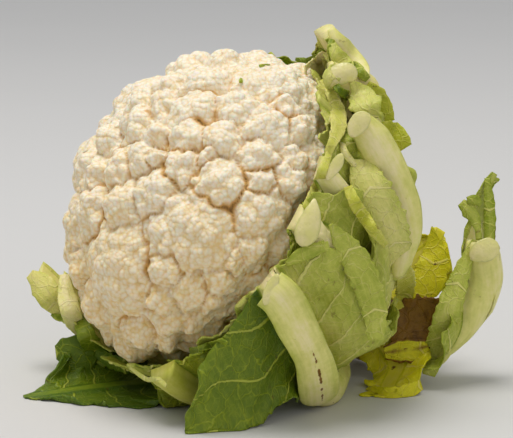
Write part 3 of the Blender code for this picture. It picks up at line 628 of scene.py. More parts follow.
LEAVES = (
    collar("upper", "pale", (60, 60, 60), 0.004, (0.016, 0.026, 0.026), (0.016, 0.024, 0.022)),
    collar("front", "pale", (-14, -15, -16), 0.001),
    collar("lower", "green", (-68, -67, -66), 0.002),
    collar("back", "pale", (-155, -155, -154), 0.004),
    collar("top", "green", (128, 128, 128), 0.003),
    leaf(
        "left_inner", "pale",
        route=((0.0208, -108, -0.058), (0.045, -108, -0.058), (0.067, -108, -0.043),
               (0.081, -110, -0.018), (0.084, -114, 0.004), (0.083, -122, 0.02)),
        left=(0.008, 0.01, 0.018, 0.02, 0.008), right=(0.008, 0.01, 0.018, 0.022, 0.014),
        rib=(0.008, 0.007, 0.005), depth=(0.006, 0.005, 0.004),
    ),
    leaf(
        "inner_right", "green",
        route=((0.0208, 24, -0.059), (0.045, 24, -0.058), (0.068, 25, -0.046), (0.081, 28, -0.024),
               (0.0845, 32, 0.001)),
        left=(0.009, 0.012, 0.034, 0.044, 0.018), right=(0.009, 0.018, 0.034, 0.036, 0.016),
        rib=(0.009, 0.007, 0.006), depth=(0.006, 0.006, 0.006),
    ),
    leaf(
        "back_lower", "green",
        route=((0.0208, -158, -0.06), (0.046, -158, -0.059), (0.073, -159, -0.048),
               (0.087, -160, -0.028), (0.089, -162, 0.002)),
        left=(0.01, 0.014, 0.038, 0.04, 0.014), right=(0.01, 0.014, 0.038, 0.044, 0.018),
        rib=(0.01, 0.009, 0.008), depth=(0.01, 0.01, 0.009), wave=(0.003, 2.5, 0.7),
    ),
    leaf(
        "top", "green",
        route=((0.0208, 92, -0.06), (0.045, 91, -0.059), (0.072, 89, -0.048), (0.088, 86, -0.031),
               (0.1, 84, 0.003)),
        left=(0.01, 0.013, 0.032, 0.036, 0.012), right=(0.01, 0.013, 0.03, 0.034, 0.014),
        rib=(0.01, 0.009, 0.007), depth=(0.009, 0.009, 0.008), drop=(0.012, 0.01),
        wave=(0.003, 3.0, 0.6),
    ),
    leaf(
        "inner_front", "green",
        route=((0.0208, 6, -0.067), (0.045, 6, -0.066), (0.069, 8, -0.051), (0.082, 11, -0.028),
               (0.0855, 14, 0.004)),
        left=(0.01, 0.013, 0.026, 0.03, 0.012), right=(0.01, 0.013, 0.028, 0.032, 0.012),
        rib=(0.01, 0.009, 0.009), depth=(0.008, 0.008, 0.008),
    ),
    leaf(
        "upper", "bright",
        route=((0.0208, 66, -0.071), (0.046, 66, -0.07), (0.073, 67, -0.057), (0.089, 69, -0.034),
               (0.092, 70, -0.004)),
        left=(0.01, 0.013, 0.024, 0.022, 0.012), right=(0.01, 0.013, 0.03, 0.032, 0.012),
        rib=(0.01, 0.008, 0.007), depth=(0.009, 0.009, 0.008), drop=(0.008, 0.008),
        flare_left=(0.0, 0.002, 0.008, 0.004, 0.002), wave=(0.003, 3.0, 0.4),
    ),
    leaf(
        "back_upper", "green",
        route=((0.0208, 120, -0.071), (0.046, 120, -0.07), (0.072, 121, -0.055), (0.086, 122, -0.03),
               (0.088, 123, 0.001)),
        left=(0.01, 0.013, 0.034, 0.036, 0.014), right=(0.01, 0.013, 0.034, 0.036, 0.014),
        rib=(0.01, 0.009, 0.008), depth=(0.009, 0.009, 0.008), wave=(0.003, 3.0, 0.9),
    ),
    leaf(
        "left", "yellow_green",
        route=((0.0208, -114, -0.072), (0.045, -114, -0.071), (0.072, -115, -0.056),
               (0.086, -119, -0.027), (0.092, -125, 0.0), (0.098, -132, 0.019)),
        left=(0.01, 0.013, 0.03, 0.03, 0.01), right=(0.012, 0.013, 0.014, 0.016, 0.018, 0.01),
        rib=(0.01, 0.009, 0.008), depth=(0.009, 0.009, 0.008),
    ),
    leaf(
        "floor", "dark",
        route=((0.0208, -90, -0.084), (0.042, -90, -0.082), (0.061, -90, -0.062), (0.082, -90, -0.033),
               (0.101, -91, -0.006), (0.12, -92, 0.018)),
        left=(0.008, 0.009, 0.009, 0.014, 0.026, 0.014), right=(0.008, 0.01, 0.028, 0.042, 0.04, 0.012),
        rib=(0.006, 0.005, 0.003), depth=(0.005, 0.004, 0.002), drop=(0.022, 0.008),
        flare_left=(0.0, 0.0, 0.0, -0.002, -0.012, -0.012), wave=(0.003, 3.0, 0.5),
    ),
    leaf(
        "lower", "yellow_green",
        route=((0.0208, -52, -0.072), (0.046, -53, -0.071), (0.072, -54, -0.05), (0.086, -52, -0.022),
               (0.09, -48, 0.003)),
        left=(0.009, 0.011, 0.02, 0.02, 0.01), right=(0.009, 0.011, 0.03, 0.034, 0.026),
        rib=(0.009, 0.008, 0.008), depth=(0.008, 0.009, 0.009),
    ),
    leaf(
        "right", "pale",
        route=((0.0208, 22, -0.083), (0.045, 23, -0.083), (0.07, 30, -0.071), (0.083, 41, -0.053),
               (0.0885, 51, -0.036), (0.0885, 58, -0.015)),
        left=(0.012, 0.018, 0.04, 0.054, 0.048), right=(0.012, 0.013, 0.014, 0.014, 0.01),
        rib=(0.011, 0.01, 0.007), depth=(0.012, 0.012, 0.009), drop=(0.014, 0.004),
        flare_left=(0.0, 0.0, 0.004, 0.006, 0.004), wave=(0.004, 3.0, 0.1),
    ),
    leaf(
        "back", "pale",
        route=((0.0208, 152, -0.083), (0.046, 152, -0.083), (0.072, 154, -0.067), (0.087, 158, -0.04),
               (0.088, 163, 0.002)),
        left=(0.012, 0.015, 0.04, 0.044, 0.018), right=(0.012, 0.015, 0.034, 0.036, 0.014),
        rib=(0.011, 0.01, 0.008), depth=(0.011, 0.011, 0.009), wave=(0.0035, 2.5, 0.3),
    ),
    leaf(
        "front", "dark",
        route=((0.0208, -34, -0.088), (0.045, -34, -0.086), (0.069, -31, -0.074), (0.079, -22, -0.054),
               (0.084, -12, -0.028), (0.084, -5, -0.001)),
        left=(0.012, 0.014, 0.016, 0.026, 0.036, 0.045, 0.054, 0.058, 0.05),
        right=(0.014, 0.042, 0.05, 0.042, 0.03), rib=(0.011, 0.01, 0.007), depth=(0.012, 0.013, 0.01),
        drop=(0.0, 0.01), flare_left=(0.0, 0.0, 0.0, 0.0, 0.008, 0.016, 0.026, 0.036, 0.016),
        wave=(0.003, 2.5, 0.2),
    ),
    leaf(
        "wilted_upper", "yellow",
        route=((0.0208, 58, -0.098), (0.0294, 61, -0.104), (0.0391, 65, -0.11), (0.0495, 70, -0.114),
               (0.0604, 75, -0.115)),
        left=(0.008, 0.02, 0.026, 0.022, 0.006), right=(0.008, 0.018, 0.024, 0.018, 0.006),
        rib=(0.004, 0.003, 0.002), depth=(0.004, 0.003, 0.002), hug=0.06, roll=(0.0, 40.0, 40.0, 40.0),
    ),
    leaf(
        "wilted_lower", "yellow",
        route=((0.0208, 6, -0.1), (0.032, 3, -0.104), (0.046, -7, -0.119), (0.06, -15, -0.116),
               (0.075, -18, -0.109)),
        left=(0.012, 0.018, 0.022, 0.024, 0.018), right=(0.012, 0.018, 0.022, 0.02, 0.012),
        rib=(0.006, 0.004, 0.003), depth=(0.005, 0.004, 0.002), wave=(0.003, 3.0, 0.5), hug=0.08,
    ),
    leaf(
        "splayed", "pale",
        route=((0.0208, 22, -0.106), (0.033, 16, -0.109), (0.046, 7, -0.121), (0.054, 13, -0.125),
               (0.061, 26, -0.125), (0.069, 40, -0.121), (0.076, 51, -0.11), (0.087, 58, -0.104),
               (0.1035, 65, -0.1015)),
        left=(0.01, 0.014, 0.019, 0.022, 0.022, 0.02, 0.017, 0.008, 0.005),
        right=(0.01, 0.012, 0.016, 0.017, 0.017, 0.016, 0.014, 0.006, 0.004),
        rib=(0.01, 0.01, 0.012, 0.013, 0.013, 0.013, 0.012, 0.004, 0.002), depth=(0.01, 0.012, 0.012),
        rib_end=0.79, hug=0.022, roll=(0.0, -60.0, -108.0, -108.0, -108.0),
    ),
)

print(len(LEAVES), "leaves")

# %% [markdown]
# A sheet is worked out from a list of rows, which cross the leaf, and a list of columns, which run along
# it. The same function gives the coarse sheet of the plain solid and the fine one of the finished leaf.
# A column is a pair: a share of the rib's half width, and the share of the blade that lies beyond it.

# %% Points, directions and sizes along a leaf


def head_point(radius, azimuth, height):
    """A point in the head's frame."""
    turn = math.radians(azimuth)
    return np.array([radius * math.cos(turn), radius * math.sin(turn), height])


def at(vectors, steps, places):
    """Points or directions that are given at steps along a leaf, read at other places."""
    return np.stack([np.interp(places, steps, vectors[:, k]) for k in range(3)], 1)


def smooth_route(corners, places):
    """Points on a smooth curve through the corners, at shares of its length, and its length."""
    ends = 2 * corners[0] - corners[1], 2 * corners[-1] - corners[-2]
    p = np.vstack([ends[0], corners, ends[1]])
    dense = [corners[0]]
    for a, b, c, d in zip(p, p[1:], p[2:], p[3:]):
        for s in np.linspace(0, 1, 25)[1:]:
            bend = (2 * a - 5 * b + 4 * c - d) * s * s + (3 * b - a - 3 * c + d) * s**3
            dense.append(b + 0.5 * ((c - a) * s + bend))
    dense = np.array(dense)
    run = np.concatenate([[0], np.cumsum(np.linalg.norm(np.diff(dense, axis=0), axis=1))])
    return at(dense, run, places * run[-1]), run[-1]


def along(values, places):
    """A size that is given at even steps along a leaf, read at other places."""
    return np.interp(places, np.linspace(0, 1, len(values)), values)


def unit(vectors):
    """The vectors, each made one long."""
    return vectors / np.linalg.norm(vectors, axis=-1)[..., None]


def turned(points, angles):
    """The points, each turned round the head's axis."""
    x, y, z = points.T
    cos, sin = np.cos(angles), np.sin(angles)
    return np.stack([x * cos - y * sin, x * sin + y * cos, z], 1)


def backs(forward, rolls):
    """The way a leaf's back faces: down at the stalk, then turning with the leaf, and rolled."""
    back = np.array([0.0, 0.0, -1.0])
    found = []
    for ahead, roll in zip(forward, np.radians(rolls)):
        back = unit(back - ahead * back.dot(ahead))
        found.append(back * math.cos(roll) + np.cross(ahead, back) * math.sin(roll))
    return np.array(found)


# %% From the table to a sheet
NARROWEST_BLADE = 0.002
ROUTE_POINTS = 88
WAVE_LAG = 0.3


def raised_edge(leaf, rows, side, share):
    """How far a column stands away from the head, for its flare and its waves."""
    flare, lag = (leaf["flare_left"], 0.0) if side < 0 else (leaf["flare_right"], WAVE_LAG)
    height, count, phase = leaf["wave"]
    wave = height * share**1.5 * np.sin(2 * math.pi * (count * rows + phase + lag)) * rows
    return (along(flare, rows) * share**2 + wave)[:, None]


def leaf_sheet(leaf, rows, columns, reach=None, ends=None):
    """The inner face of a leaf as rows of points in the head's frame, with how far across each lies.

    reach: a share by which each point's blade is wider or narrower than in the table.
    ends: how far each column's end is torn back, in metres.
    """
    corners = np.array([head_point(*corner) for corner in leaf["route"]])
    fine = np.linspace(0, 1, ROUTE_POINTS)
    line, length = smooth_route(corners, fine)
    forward = unit(np.gradient(line, axis=0))
    back = backs(forward, along(leaf["roll"], fine))
    half = along(leaf["rib"], rows)
    sheet = np.zeros((len(rows), len(columns), 3))
    offsets = np.zeros((len(rows), len(columns)))
    for c, (side, share) in enumerate(columns):
        width, drop = (leaf["left"], leaf["drop"][0]) if side < 0 else (leaf["right"], leaf["drop"][1])
        short = drop * share + (0.0 if ends is None else ends[c])
        places = rows * (1 - short / length)
        middle = at(line, fine, places)
        outward = unit(at(back, fine, places))
        across = np.cross(unit(at(forward, fine, places)), outward)
        blade = np.maximum(along(width, rows) - half, NARROWEST_BLADE)
        blade = blade if reach is None else blade * reach[:, c]
        offset = np.sign(side) * (half * abs(side) + blade * share)
        raised = raised_edge(leaf, rows, side, share)
        if leaf["hug"]:
            angle = (offset / leaf["hug"])[:, None]
            facing = outward * np.cos(angle) + across * np.sin(angle)
            sheet[:, c] = middle + leaf["hug"] * (facing - outward) + raised * facing
        else:
            from_axis = np.hypot(middle[:, 0], middle[:, 1])
            sheet[:, c] = turned(middle + outward * raised, offset / from_axis)
        offsets[:, c] = offset
    return sheet, offsets


# %% [markdown]
# The solids were bent outwards until each cleared the ones inside it. A plain leaf's inner points moved
# along straight lines from the heart of the head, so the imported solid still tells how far: for each
# point of the coarse sheet, the solid has one corner on that line. Where the solid was pressed flat on
# the table, only the way across the table counts. Reading the move there keeps the new leaves exactly on
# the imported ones.

# %% How far a packed leaf was bent
COARSE_ROWS = 11
RIB_SHOULDER = 0.74
COARSE_COLUMNS = (
    (-1, 1.0), (-1, 0.67), (-1, 0.33), (-1, 0.0), (-RIB_SHOULDER, 0.0), (0, 0.0),
    (RIB_SHOULDER, 0.0), (1, 0.0), (1, 0.33), (1, 0.67), (1, 1.0),
)
SOLID_BLADE = 0.0012
MOST_BENT = 0.06
EXACT = 1e-5
HEART = to_world @ Vector((0.0, 0.0, -0.030))


def world_points(sheet):
    """The points where they lie in the world."""
    return sheet @ np.array(to_world.to_3x3()).T + np.array(to_world.translation)


def moves(leaf):
    """The move of each point of the coarse sheet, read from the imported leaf's corners."""
    points = world_points(leaf_sheet(leaf, np.linspace(0, 1, COARSE_ROWS), COARSE_COLUMNS)[0])
    away = unit(points - np.array(HEART))
    away[0] = -np.array(AXIS)
    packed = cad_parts["leaf_" + leaf["name"]].data
    corners = np.array([v.co for v in packed.vertices])
    onto_floor = np.abs(corners[:, 2] - SOLID_BLADE) < EXACT
    found = np.zeros(points.shape)
    for place in np.ndindex(points.shape[:2]):
        from_here = corners - points[place]
        step = from_here @ away[place]
        flat = away[place][:2]
        step = np.where(onto_floor, from_here[:, :2] @ flat / (flat @ flat), step)
        miss = from_here - step[:, None] * away[place]
        miss[onto_floor, 2] = 0
        miss = np.linalg.norm(miss, axis=1) + (step < -EXACT) + (step > MOST_BENT)
        found[place] = away[place] * step[miss.argmin()]
    return found


# %% [markdown]
# ### What makes a sheet a leaf
#
# The fine sheet has a point about every millimetre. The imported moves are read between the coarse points
# along smooth curves. Then the leaf gets what a knife and the wind gave it: an outline with lobes and
# small teeth, a torn end, ruffles that grow towards the edge, side veins that stand up on its back with
# the blade sagging between them, and a crumpled surface. All of it comes from sums of waves with seeded
# starts, so the leaf is the same each time.

# %% Waves and veins
VEIN_SPACING = 0.019
VEIN_LEAN = 0.45
VEIN_CURL = 4.0
VEIN_HALF_WIDTH = 0.0011


def wavy(place, lengths, random):
    """A sum of waves of some lengths with random starts, from about -1 to 1."""
    total = sum(np.sin(2 * math.pi * place / length + random.uniform(0, 6.28)) for length in lengths)
    return total / math.sqrt(len(lengths))


def crumpled(across, along_leaf, lengths, random):
    """The same over a sheet, each wave running its own way."""
    total = 0
    for length in lengths:
        turn = random.uniform(0, 6.28)
        place = across * math.cos(turn) + along_leaf * math.sin(turn)
        total = total + np.sin(2 * math.pi * place / length + random.uniform(0, 6.28))
    return total / math.sqrt(len(lengths))


def vein_count(across, along_leaf, phase):
    """A number that is whole along each side vein, where veins lean and curl towards the tip."""
    return (along_leaf - VEIN_LEAN * across - VEIN_CURL * across**2) / VEIN_SPACING + phase


# %% Reading between coarse points


def between(grid, places):
    """Rows of a grid read at places between them, along smooth curves through the rows."""
    k = np.clip(np.floor(places).astype(int), 0, len(grid) - 2)
    s = (places - k).reshape(-1, *[1] * (grid.ndim - 1))
    a, b, c, d = (grid[np.clip(k + step, 0, len(grid) - 1)] for step in (-1, 0, 1, 2))
    return b + 0.5 * s * (c - a + s * (2 * a - 5 * b + 4 * c - d + s * (3 * (b - c) + d - a)))


def coarse_place(column):
    """Where a column lies between the coarse ones."""
    side, share = column
    if share > 0:
        return 5 + side * (2 + 3 * share)
    return np.interp(side, (-1, -RIB_SHOULDER, 0, RIB_SHOULDER, 1), (3, 4, 5, 6, 7))


# %% [markdown]
# ### How each leaf looks
#
# The outer leaves are greener and the inner ones paler, and no two are alike. A tone runs from 0, the
# cream of a rib, over the yellow-green of a shaded blade, to 1, the deep green of one that grew in the
# sun. Each leaf has a tone for its rib at base and tip, and for each blade beside the rib and at the
# edge. The other values say how torn its sides and its end are, how ruffled it is, and how brown its
# base and its edges have gone.

# %% The table of looks


def look(rib, left, right, torn=0.002, end=0.001, ruffle=0.0015, brown=(0.0, 0.0), seed=1, **more):
    """The looks of one leaf.

    scar: where along a rib a brown scar runs, as its start, its end and its share of the half width.
    shift: how far the leaf leans away from its solid, as corners of x, y and z from base to tip.
    short: how much of the end is cut off. trim: sizes of the table that are trimmed finer than there.
    """
    plain = dict(rib=rib, left=left, right=right, torn=torn, end=end, ruffle=ruffle, brown=brown, seed=seed)
    return {**plain, "scar": (0, 0, 0), "shift": ((0, 0, 0), (0, 0, 0)), "short": 0.0, "trim": {}, **more}


LOOKS = {
    "collar_upper": look((0.3, 0.3), (0.28, 0.36), (0.25, 0.34), 0.0015, 0.003, 0.0006, (0, 0.3), 1),
    "collar_front": look((0.3, 0.3), (0.3, 0.4), (0.3, 0.36), 0.0015, 0.003, 0.0006, (0, 0.3), 2),
    "collar_lower": look((0.3, 0.35), (0.4, 0.6), (0.4, 0.6), 0.0015, 0.003, 0.0006, (0, 0.2), 3),
    "collar_back": look((0.2, 0.3), (0.35, 0.5), (0.35, 0.5), 0.0015, 0.003, 0.0006, (0, 0.2), 4),
    "collar_top": look((0.2, 0.25), (0.3, 0.42), (0.3, 0.42), 0.0015, 0.003, 0.0006, (0, 0.2), 5),
    "left_inner": look(
        (0.1, 0.1), (0.12, 0.3), (0.12, 0.3), 0.001, 0.001, 0.0005, (0, 0), 6,
        trim={"rib": (0.008, 0.006, 0.003), "depth": (0.006, 0.004, 0.002)},
        shift=((0, 0, 0), (0, 0, 0), (0.006, 0, 0)),
    ),
    "inner_right": look((0.1, 0.1), (0.5, 0.6), (0.42, 0.5), 0.0015, 0.002, 0.001, (0, 0.1), 7),
    "back_lower": look((0.05, 0.1), (0.45, 0.65), (0.45, 0.65), 0.002, 0.0015, 0.002, (0.3, 0.1), 8),
    "top": look(
        (0.12, 0.04), (0.25, 0.35), (0.25, 0.35), 0.002, 0.002, 0.0012, (0.2, 0.2), 9,
        trim={"rib": (0.01, 0.008, 0.0065)},
    ),
    "inner_front": look(
        (0.1, 0.03), (0.45, 0.5), (0.42, 0.46), 0.0015, 0.002, 0.001, (0, 0.1), 10,
        trim={"rib": (0.01, 0.008, 0.006)},
    ),
    "upper": look(
        (0.22, 0.08), (0.3, 0.45), (0.25, 0.42), 0.002, 0.002, 0.0015, (0.2, 0.5), 11,
        trim={"rib": (0.01, 0.006, 0.005), "depth": (0.008, 0.006, 0.005)}, short=0.002,
        shift=((0, 0, 0), (-0.003, 0, 0), (-0.006, 0, 0), (-0.006, 0, 0)),
    ),
    "back_upper": look(
        (0.05, 0.1), (0.35, 0.5), (0.35, 0.5), 0.002, 0.0015, 0.002, (0.3, 0.1), 12, short=0.009,
    ),
    "left": look(
        (0.24, 0.12), (0.22, 0.35), (0.22, 0.35), 0.0008, 0.0004, 0.0004, (0.1, 0), 13,
        trim={
            "left": (0.01, 0.013, 0.022, 0.022, 0.017, 0.012, 0.003),
            "right": (0.012, 0.013, 0.014, 0.016, 0.018, 0.004),
        },
        short=0.003,
    ),
    "floor": look(
        (0.6, 0.75), (0.75, 0.95), (0.85, 1.0), 0.0025, 0.003, 0.0018, (0, 0.1), 14,
        trim={"rib": (0.006, 0.003, 0.0015), "depth": (0.005, 0.002, 0.001)},
    ),
    "lower": look((0.35, 0.34), (0.6, 0.8), (0.6, 0.85), 0.0015, 0.002, 0.001, (0.1, 0.1), 15),
    "right": look(
        (0.24, 0.05), (0.2, 0.42), (0.22, 0.35), 0.002, 0.002, 0.0022, (0.15, 0.25), 16,
        trim={"rib": (0.005, 0.006, 0.004), "depth": (0.006, 0.007, 0.004)}, short=0.004,
        shift=((0, 0, 0), (0, 0, 0), (-0.003, 0, 0), (-0.004, 0, 0)),
    ),
    "back": look((0.05, 0.08), (0.4, 0.6), (0.4, 0.6), 0.002, 0.0015, 0.002, (0.3, 0.1), 17),
    "front": look(
        (0.18, 0.03), (0.82, 0.74), (0.33, 0.42), 0.002, 0.001, 0.0012, (0.35, 0.15), 18,
        scar=(0.28, 0.62, 0.08), trim={
            "rib": (0.011, 0.0092, 0.0056),
            "right": (0.014, 0.048, 0.037, 0.033, 0.030),
            "left": (0.012, 0.012, 0.011, 0.011, 0.012, 0.018, 0.040, 0.059, 0.05),
        },
    ),
    "wilted_upper": look(
        (0.35, 0.4), (0.42, 0.5), (0.42, 0.5), 0.0015, 0.002, 0.001, (0.6, 0.25), 19,
        trim={"left": (0.008, 0.018, 0.021, 0.015, 0.003), "right": (0.008, 0.016, 0.019, 0.012, 0.003)},
    ),
    "wilted_lower": look(
        (0.3, 0.4), (0.4, 0.5), (0.4, 0.5), 0.002, 0.002, 0.001, (1.3, 0.3), 20,
        trim={"right": (0.012, 0.016, 0.018, 0.016, 0.010), "left": (0.012, 0.016, 0.014, 0.010, 0.010)},
        shift=((0, 0, 0), (-0.003, 0, 0), (-0.006, 0, 0), (-0.008, 0, 0)),
    ),
    "splayed": look(
        (0.2, 0.08), (0.36, 0.5), (0.36, 0.5), 0.002, 0.001, 0.0012, (0.1, 0.4), 21,
        trim={
            "rib": (0.006, 0.006, 0.0065, 0.008, 0.009, 0.009, 0.009, 0.009, 0.003, 0.002, 0.002),
            "depth": (0.004, 0.004, 0.006, 0.009, 0.011, 0.011, 0.010),
            "left": (0.01, 0.013, 0.018, 0.021, 0.021, 0.018, 0.013, 0.0095, 0.004, 0.003, 0.003),
            "right": (0.01, 0.0115, 0.015, 0.017, 0.017, 0.017, 0.016, 0.013, 0.004, 0.003, 0.003),
            "rib_end": 0.74,
        },
        shift=(
            (0, 0, 0), (-0.003, 0, 0.002), (-0.005, 0, 0.003), (-0.004, 0, 0.003), (0, 0, 0.001),
            (0.004, 0, 0), (0.004, 0, 0), (0.003, 0, 0), (0.002, 0, 0), (0, 0, 0), (0, 0, 0),
        ),
    ),
}
print(len(LOOKS), "looks")

# %% [markdown]
# A leaf is made from its sizes and its looks in a fixed order. Its outline is torn, the sheet is bent as
# far as its solid was, its veins are counted, and each point is raised or lowered a little. The wall
# comes last: about a centimetre along the rib, and under a millimetre in the blade.

# %% The fine columns
RIB_COLUMNS = 21
BLADE_COLUMNS = 26

FINE_COLUMNS = [(-1, share) for share in np.linspace(1, 0, BLADE_COLUMNS, endpoint=False)]
FINE_COLUMNS += [(side, 0.0) for side in np.linspace(-1, 1, RIB_COLUMNS)]
FINE_COLUMNS += [(1, share) for share in np.linspace(0, 1, BLADE_COLUMNS + 1)[1:]]
SIDES, SHARES = np.array(FINE_COLUMNS).T
print(len(FINE_COLUMNS), "columns")

# %% A torn outline
LOBES = (0.041, 0.027, 0.016)
TEETH = (0.0085, 0.0057, 0.0039)
LEAST_BLADE = 0.006
RIB_HOLDS = 0.15


def torn_outline(leaf, looks, rows, run, random):
    """How much wider or narrower the blade is at each point, and how far each column's end is torn back."""
    widths = {-1: along(leaf["left"], rows), 1: along(leaf["right"], rows)}
    edges = {side: wavy(run, LOBES, random) + 0.16 * wavy(run, TEETH, random) for side in (-1, 1)}
    reach = np.ones((len(rows), len(FINE_COLUMNS)))
    for c, (side, share) in enumerate(FINE_COLUMNS):
        if share > 0:
            blade = np.maximum(widths[side] - along(leaf["rib"], rows), LEAST_BLADE)
            reach[:, c] += looks["torn"] * edges[side] / blade * share**3
    from_rib = SIDES * SHARES * max(widths[-1][-1], widths[1][-1])
    torn = 1 + 0.7 * wavy(from_rib, LOBES, random) + 0.25 * wavy(from_rib, TEETH, random)
    torn = np.clip(looks["end"] * torn, 0, None) * np.clip(SHARES / RIB_HOLDS, 0, 1)
    return reach, torn + looks["short"]


# %% Veins, ruffles, crumples and the wall
VEIN_BENDS = (0.09, 0.06, 0.04)
RUFFLES = (0.033, 0.019, 0.012)
CRUMPLES = (0.045, 0.033, 0.024, 0.017, 0.013, 0.010)
CRUMPLE_HEIGHT = 0.0005
QUILT_HEIGHT = 0.0009
VEIN_RIDGE = 0.0008
CALM_BESIDE_RIB = 0.004
BLADE = 0.0008
FILLET = 0.0008
FILLET_WIDTH = 0.0012
CUT_SLOPE = 0.01


def side_veins(offsets, run, beyond, random):
    """The count that is whole along each side vein, for each point of a fine sheet."""
    phase = np.where(SIDES < 0, random.uniform(), random.uniform())
    return vein_count(beyond, run, phase) + 0.16 * crumpled(offsets, run, VEIN_BENDS, random)


def vein_ridges(veins, beyond):
    """How much of a vein's ridge there is at each point. Ridges grow thinner towards the edge."""
    apart = np.abs(veins - np.round(veins)) * VEIN_SPACING
    ridge = np.exp(-(apart / (VEIN_HALF_WIDTH * (1 - 0.6 * SHARES))) ** 2)
    return ridge * np.clip(beyond / CALM_BESIDE_RIB, 0, 1)


def relief(looks, rows, offsets, run, beyond, veins, random):
    """How far each point stands off the smooth sheet."""
    on_blade = np.clip(beyond / CALM_BESIDE_RIB, 0, 1)
    quilt = np.cos(math.pi * veins) ** 2 * on_blade
    ruffle = 1 + wavy(run + 0.004 * SIDES, RUFFLES, random)
    ruffle = looks["ruffle"] * SHARES**2 * ruffle * np.clip(3 * rows, 0, 1)[:, None]
    ridge = VEIN_RIDGE * vein_ridges(veins, beyond) * 0.5
    raised = QUILT_HEIGHT * quilt * (1 - 0.5 * SHARES) + ridge + ruffle
    return raised + CRUMPLE_HEIGHT * crumpled(offsets, run, CRUMPLES, random) * on_blade


def wall(leaf, rows, beyond, veins):
    """How thick the leaf is: the rib's round back with a fillet beside it, and veins on a thin blade."""
    rounded = np.clip(1 - np.abs(SIDES) ** 2.2, 0, 1) ** 0.55 * (SHARES == 0)
    rib_stays = 1 + 0 * rows
    if leaf["rib_end"] < 1:
        rib_stays = np.clip((leaf["rib_end"] - rows) / CUT_SLOPE, 0, 1)
    thick = BLADE + ((along(leaf["depth"], rows) - BLADE) * rib_stays)[:, None] * rounded
    thick = thick + FILLET * np.exp(-beyond / FILLET_WIDTH) * (SHARES > 0) * rib_stays[:, None]
    return thick + VEIN_RIDGE * vein_ridges(veins, beyond) * (1 - 0.7 * SHARES)


# %% The fine sheet of a leaf
ROW_STEP = 0.0012


def fine_leaf(leaf, looks):
    """The points of a finished leaf's inner face, with what the other steps need to know of each."""
    random = np.random.default_rng(looks["seed"])
    coarse = moves(leaf)
    leaf = {**leaf, **looks["trim"]}
    route = np.array([head_point(*corner) for corner in leaf["route"]])
    length = smooth_route(route, np.array([0.0]))[1]
    rows = np.linspace(0, 1, round(length / ROW_STEP))
    reach, ends = torn_outline(leaf, looks, rows, rows * length, random)
    sheet, offsets = leaf_sheet(leaf, rows, FINE_COLUMNS, reach, ends)

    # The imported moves, read between the coarse rows and then between the coarse columns
    columns = np.array([coarse_place(column) for column in FINE_COLUMNS])
    moved = between(coarse, rows * (COARSE_ROWS - 1))
    moved = between(moved.transpose(1, 0, 2), columns).transpose(1, 0, 2)
    shift = np.array(looks["shift"], float)
    points = world_points(sheet) + moved + at(shift, np.linspace(0, 1, len(shift)), rows)[:, None]
    normal = unit(np.cross(np.gradient(points, axis=1), np.gradient(points, axis=0)))

    run = (rows * length)[:, None] + 0 * offsets
    beyond = np.maximum(np.abs(offsets) - along(leaf["rib"], rows)[:, None], 0)
    veins = side_veins(offsets, run, beyond, random)
    raised = relief(looks, rows, offsets, run, beyond, veins, random)
    return {
        "points": points + normal * raised[..., None], "thick": wall(leaf, rows, beyond, veins),
        "rows": rows, "offsets": offsets, "run": run, "veins": veins,
    }


# %% Tones over a leaf
SCAR_DOTS = 0.0055


def tones(leaf, looks, rows):
    """The tone of each point, which goes from the rib's over the blade's to the edge's."""
    rib = np.interp(rows, (0, 1), looks["rib"])[:, None]
    near = np.where(SIDES < 0, looks["left"][0], looks["right"][0])
    edge = np.where(SIDES < 0, looks["left"][1], looks["right"][1])
    blade = near + (edge - near) * SHARES**1.3
    if leaf["rib_end"] < 1:
        rib = rib + (near - rib) * (rows > leaf["rib_end"])[:, None]

    # A blade is paler at its base and takes over a little way off the rib, where painted shade darkens the
    # groove beside it
    blade = rib + (blade - rib) * (0.45 + 0.55 * np.clip(rows / 0.25, 0, 1)[:, None])
    onto_blade = 0.25 * np.abs(SIDES) ** 3 + 0.75 * np.clip(SHARES / 0.02, 0, 1)
    painted_groove_shade = 0.25 * np.exp(-(((SHARES - 0.05) / 0.06) ** 2)) * (SHARES > 0)
    return rib + (blade - rib) * onto_blade + painted_groove_shade


def browning(looks, rows, run):
    """How brown each point has gone: from the base outwards, from the edges inwards, and on a scar."""
    base, edge = looks["brown"]
    start, end, beside = looks["scar"]
    rows = rows[:, None]
    beside_scar = np.exp(-(((SIDES - beside) / 0.1) ** 2)) * (SHARES == 0)
    dotted = np.clip(0.45 + 0.4 * np.sin(2 * math.pi * run / SCAR_DOTS), 0.2, 0.8)
    scar = dotted * beside_scar * (rows > start) * (rows < end)
    return np.maximum(np.maximum(base * np.clip(1 - rows / 0.55, 0, 1), edge * SHARES**4), scar)


# %% [markdown]
# A blade lies on whatever is inside it, so a leaf is lifted where it would dip into a finished piece. A
# line is followed from outside towards the heart of the head. Where it meets a finished piece before the
# leaf, and only a little before, the leaf is moved out past it, and its neighbours follow so that the
# surface stays smooth.

# %% Lifting a leaf clear
CLEARANCE = 0.0005
MOST_LIFT = 0.005
EASING = 0.88
EASING_STEPS = 14
ROWS_IN_STALK = 3
finished = []


def eased(lift):
    """Each place moves at least nearly as far as its neighbours."""
    for _ in range(EASING_STEPS):
        padded = np.pad(lift, 1, mode="edge")
        near = np.max([padded[:-2, 1:-1], padded[2:, 1:-1], padded[1:-1, :-2], padded[1:-1, 2:]], axis=0)
        lift = np.maximum(lift, EASING * near)
    return lift


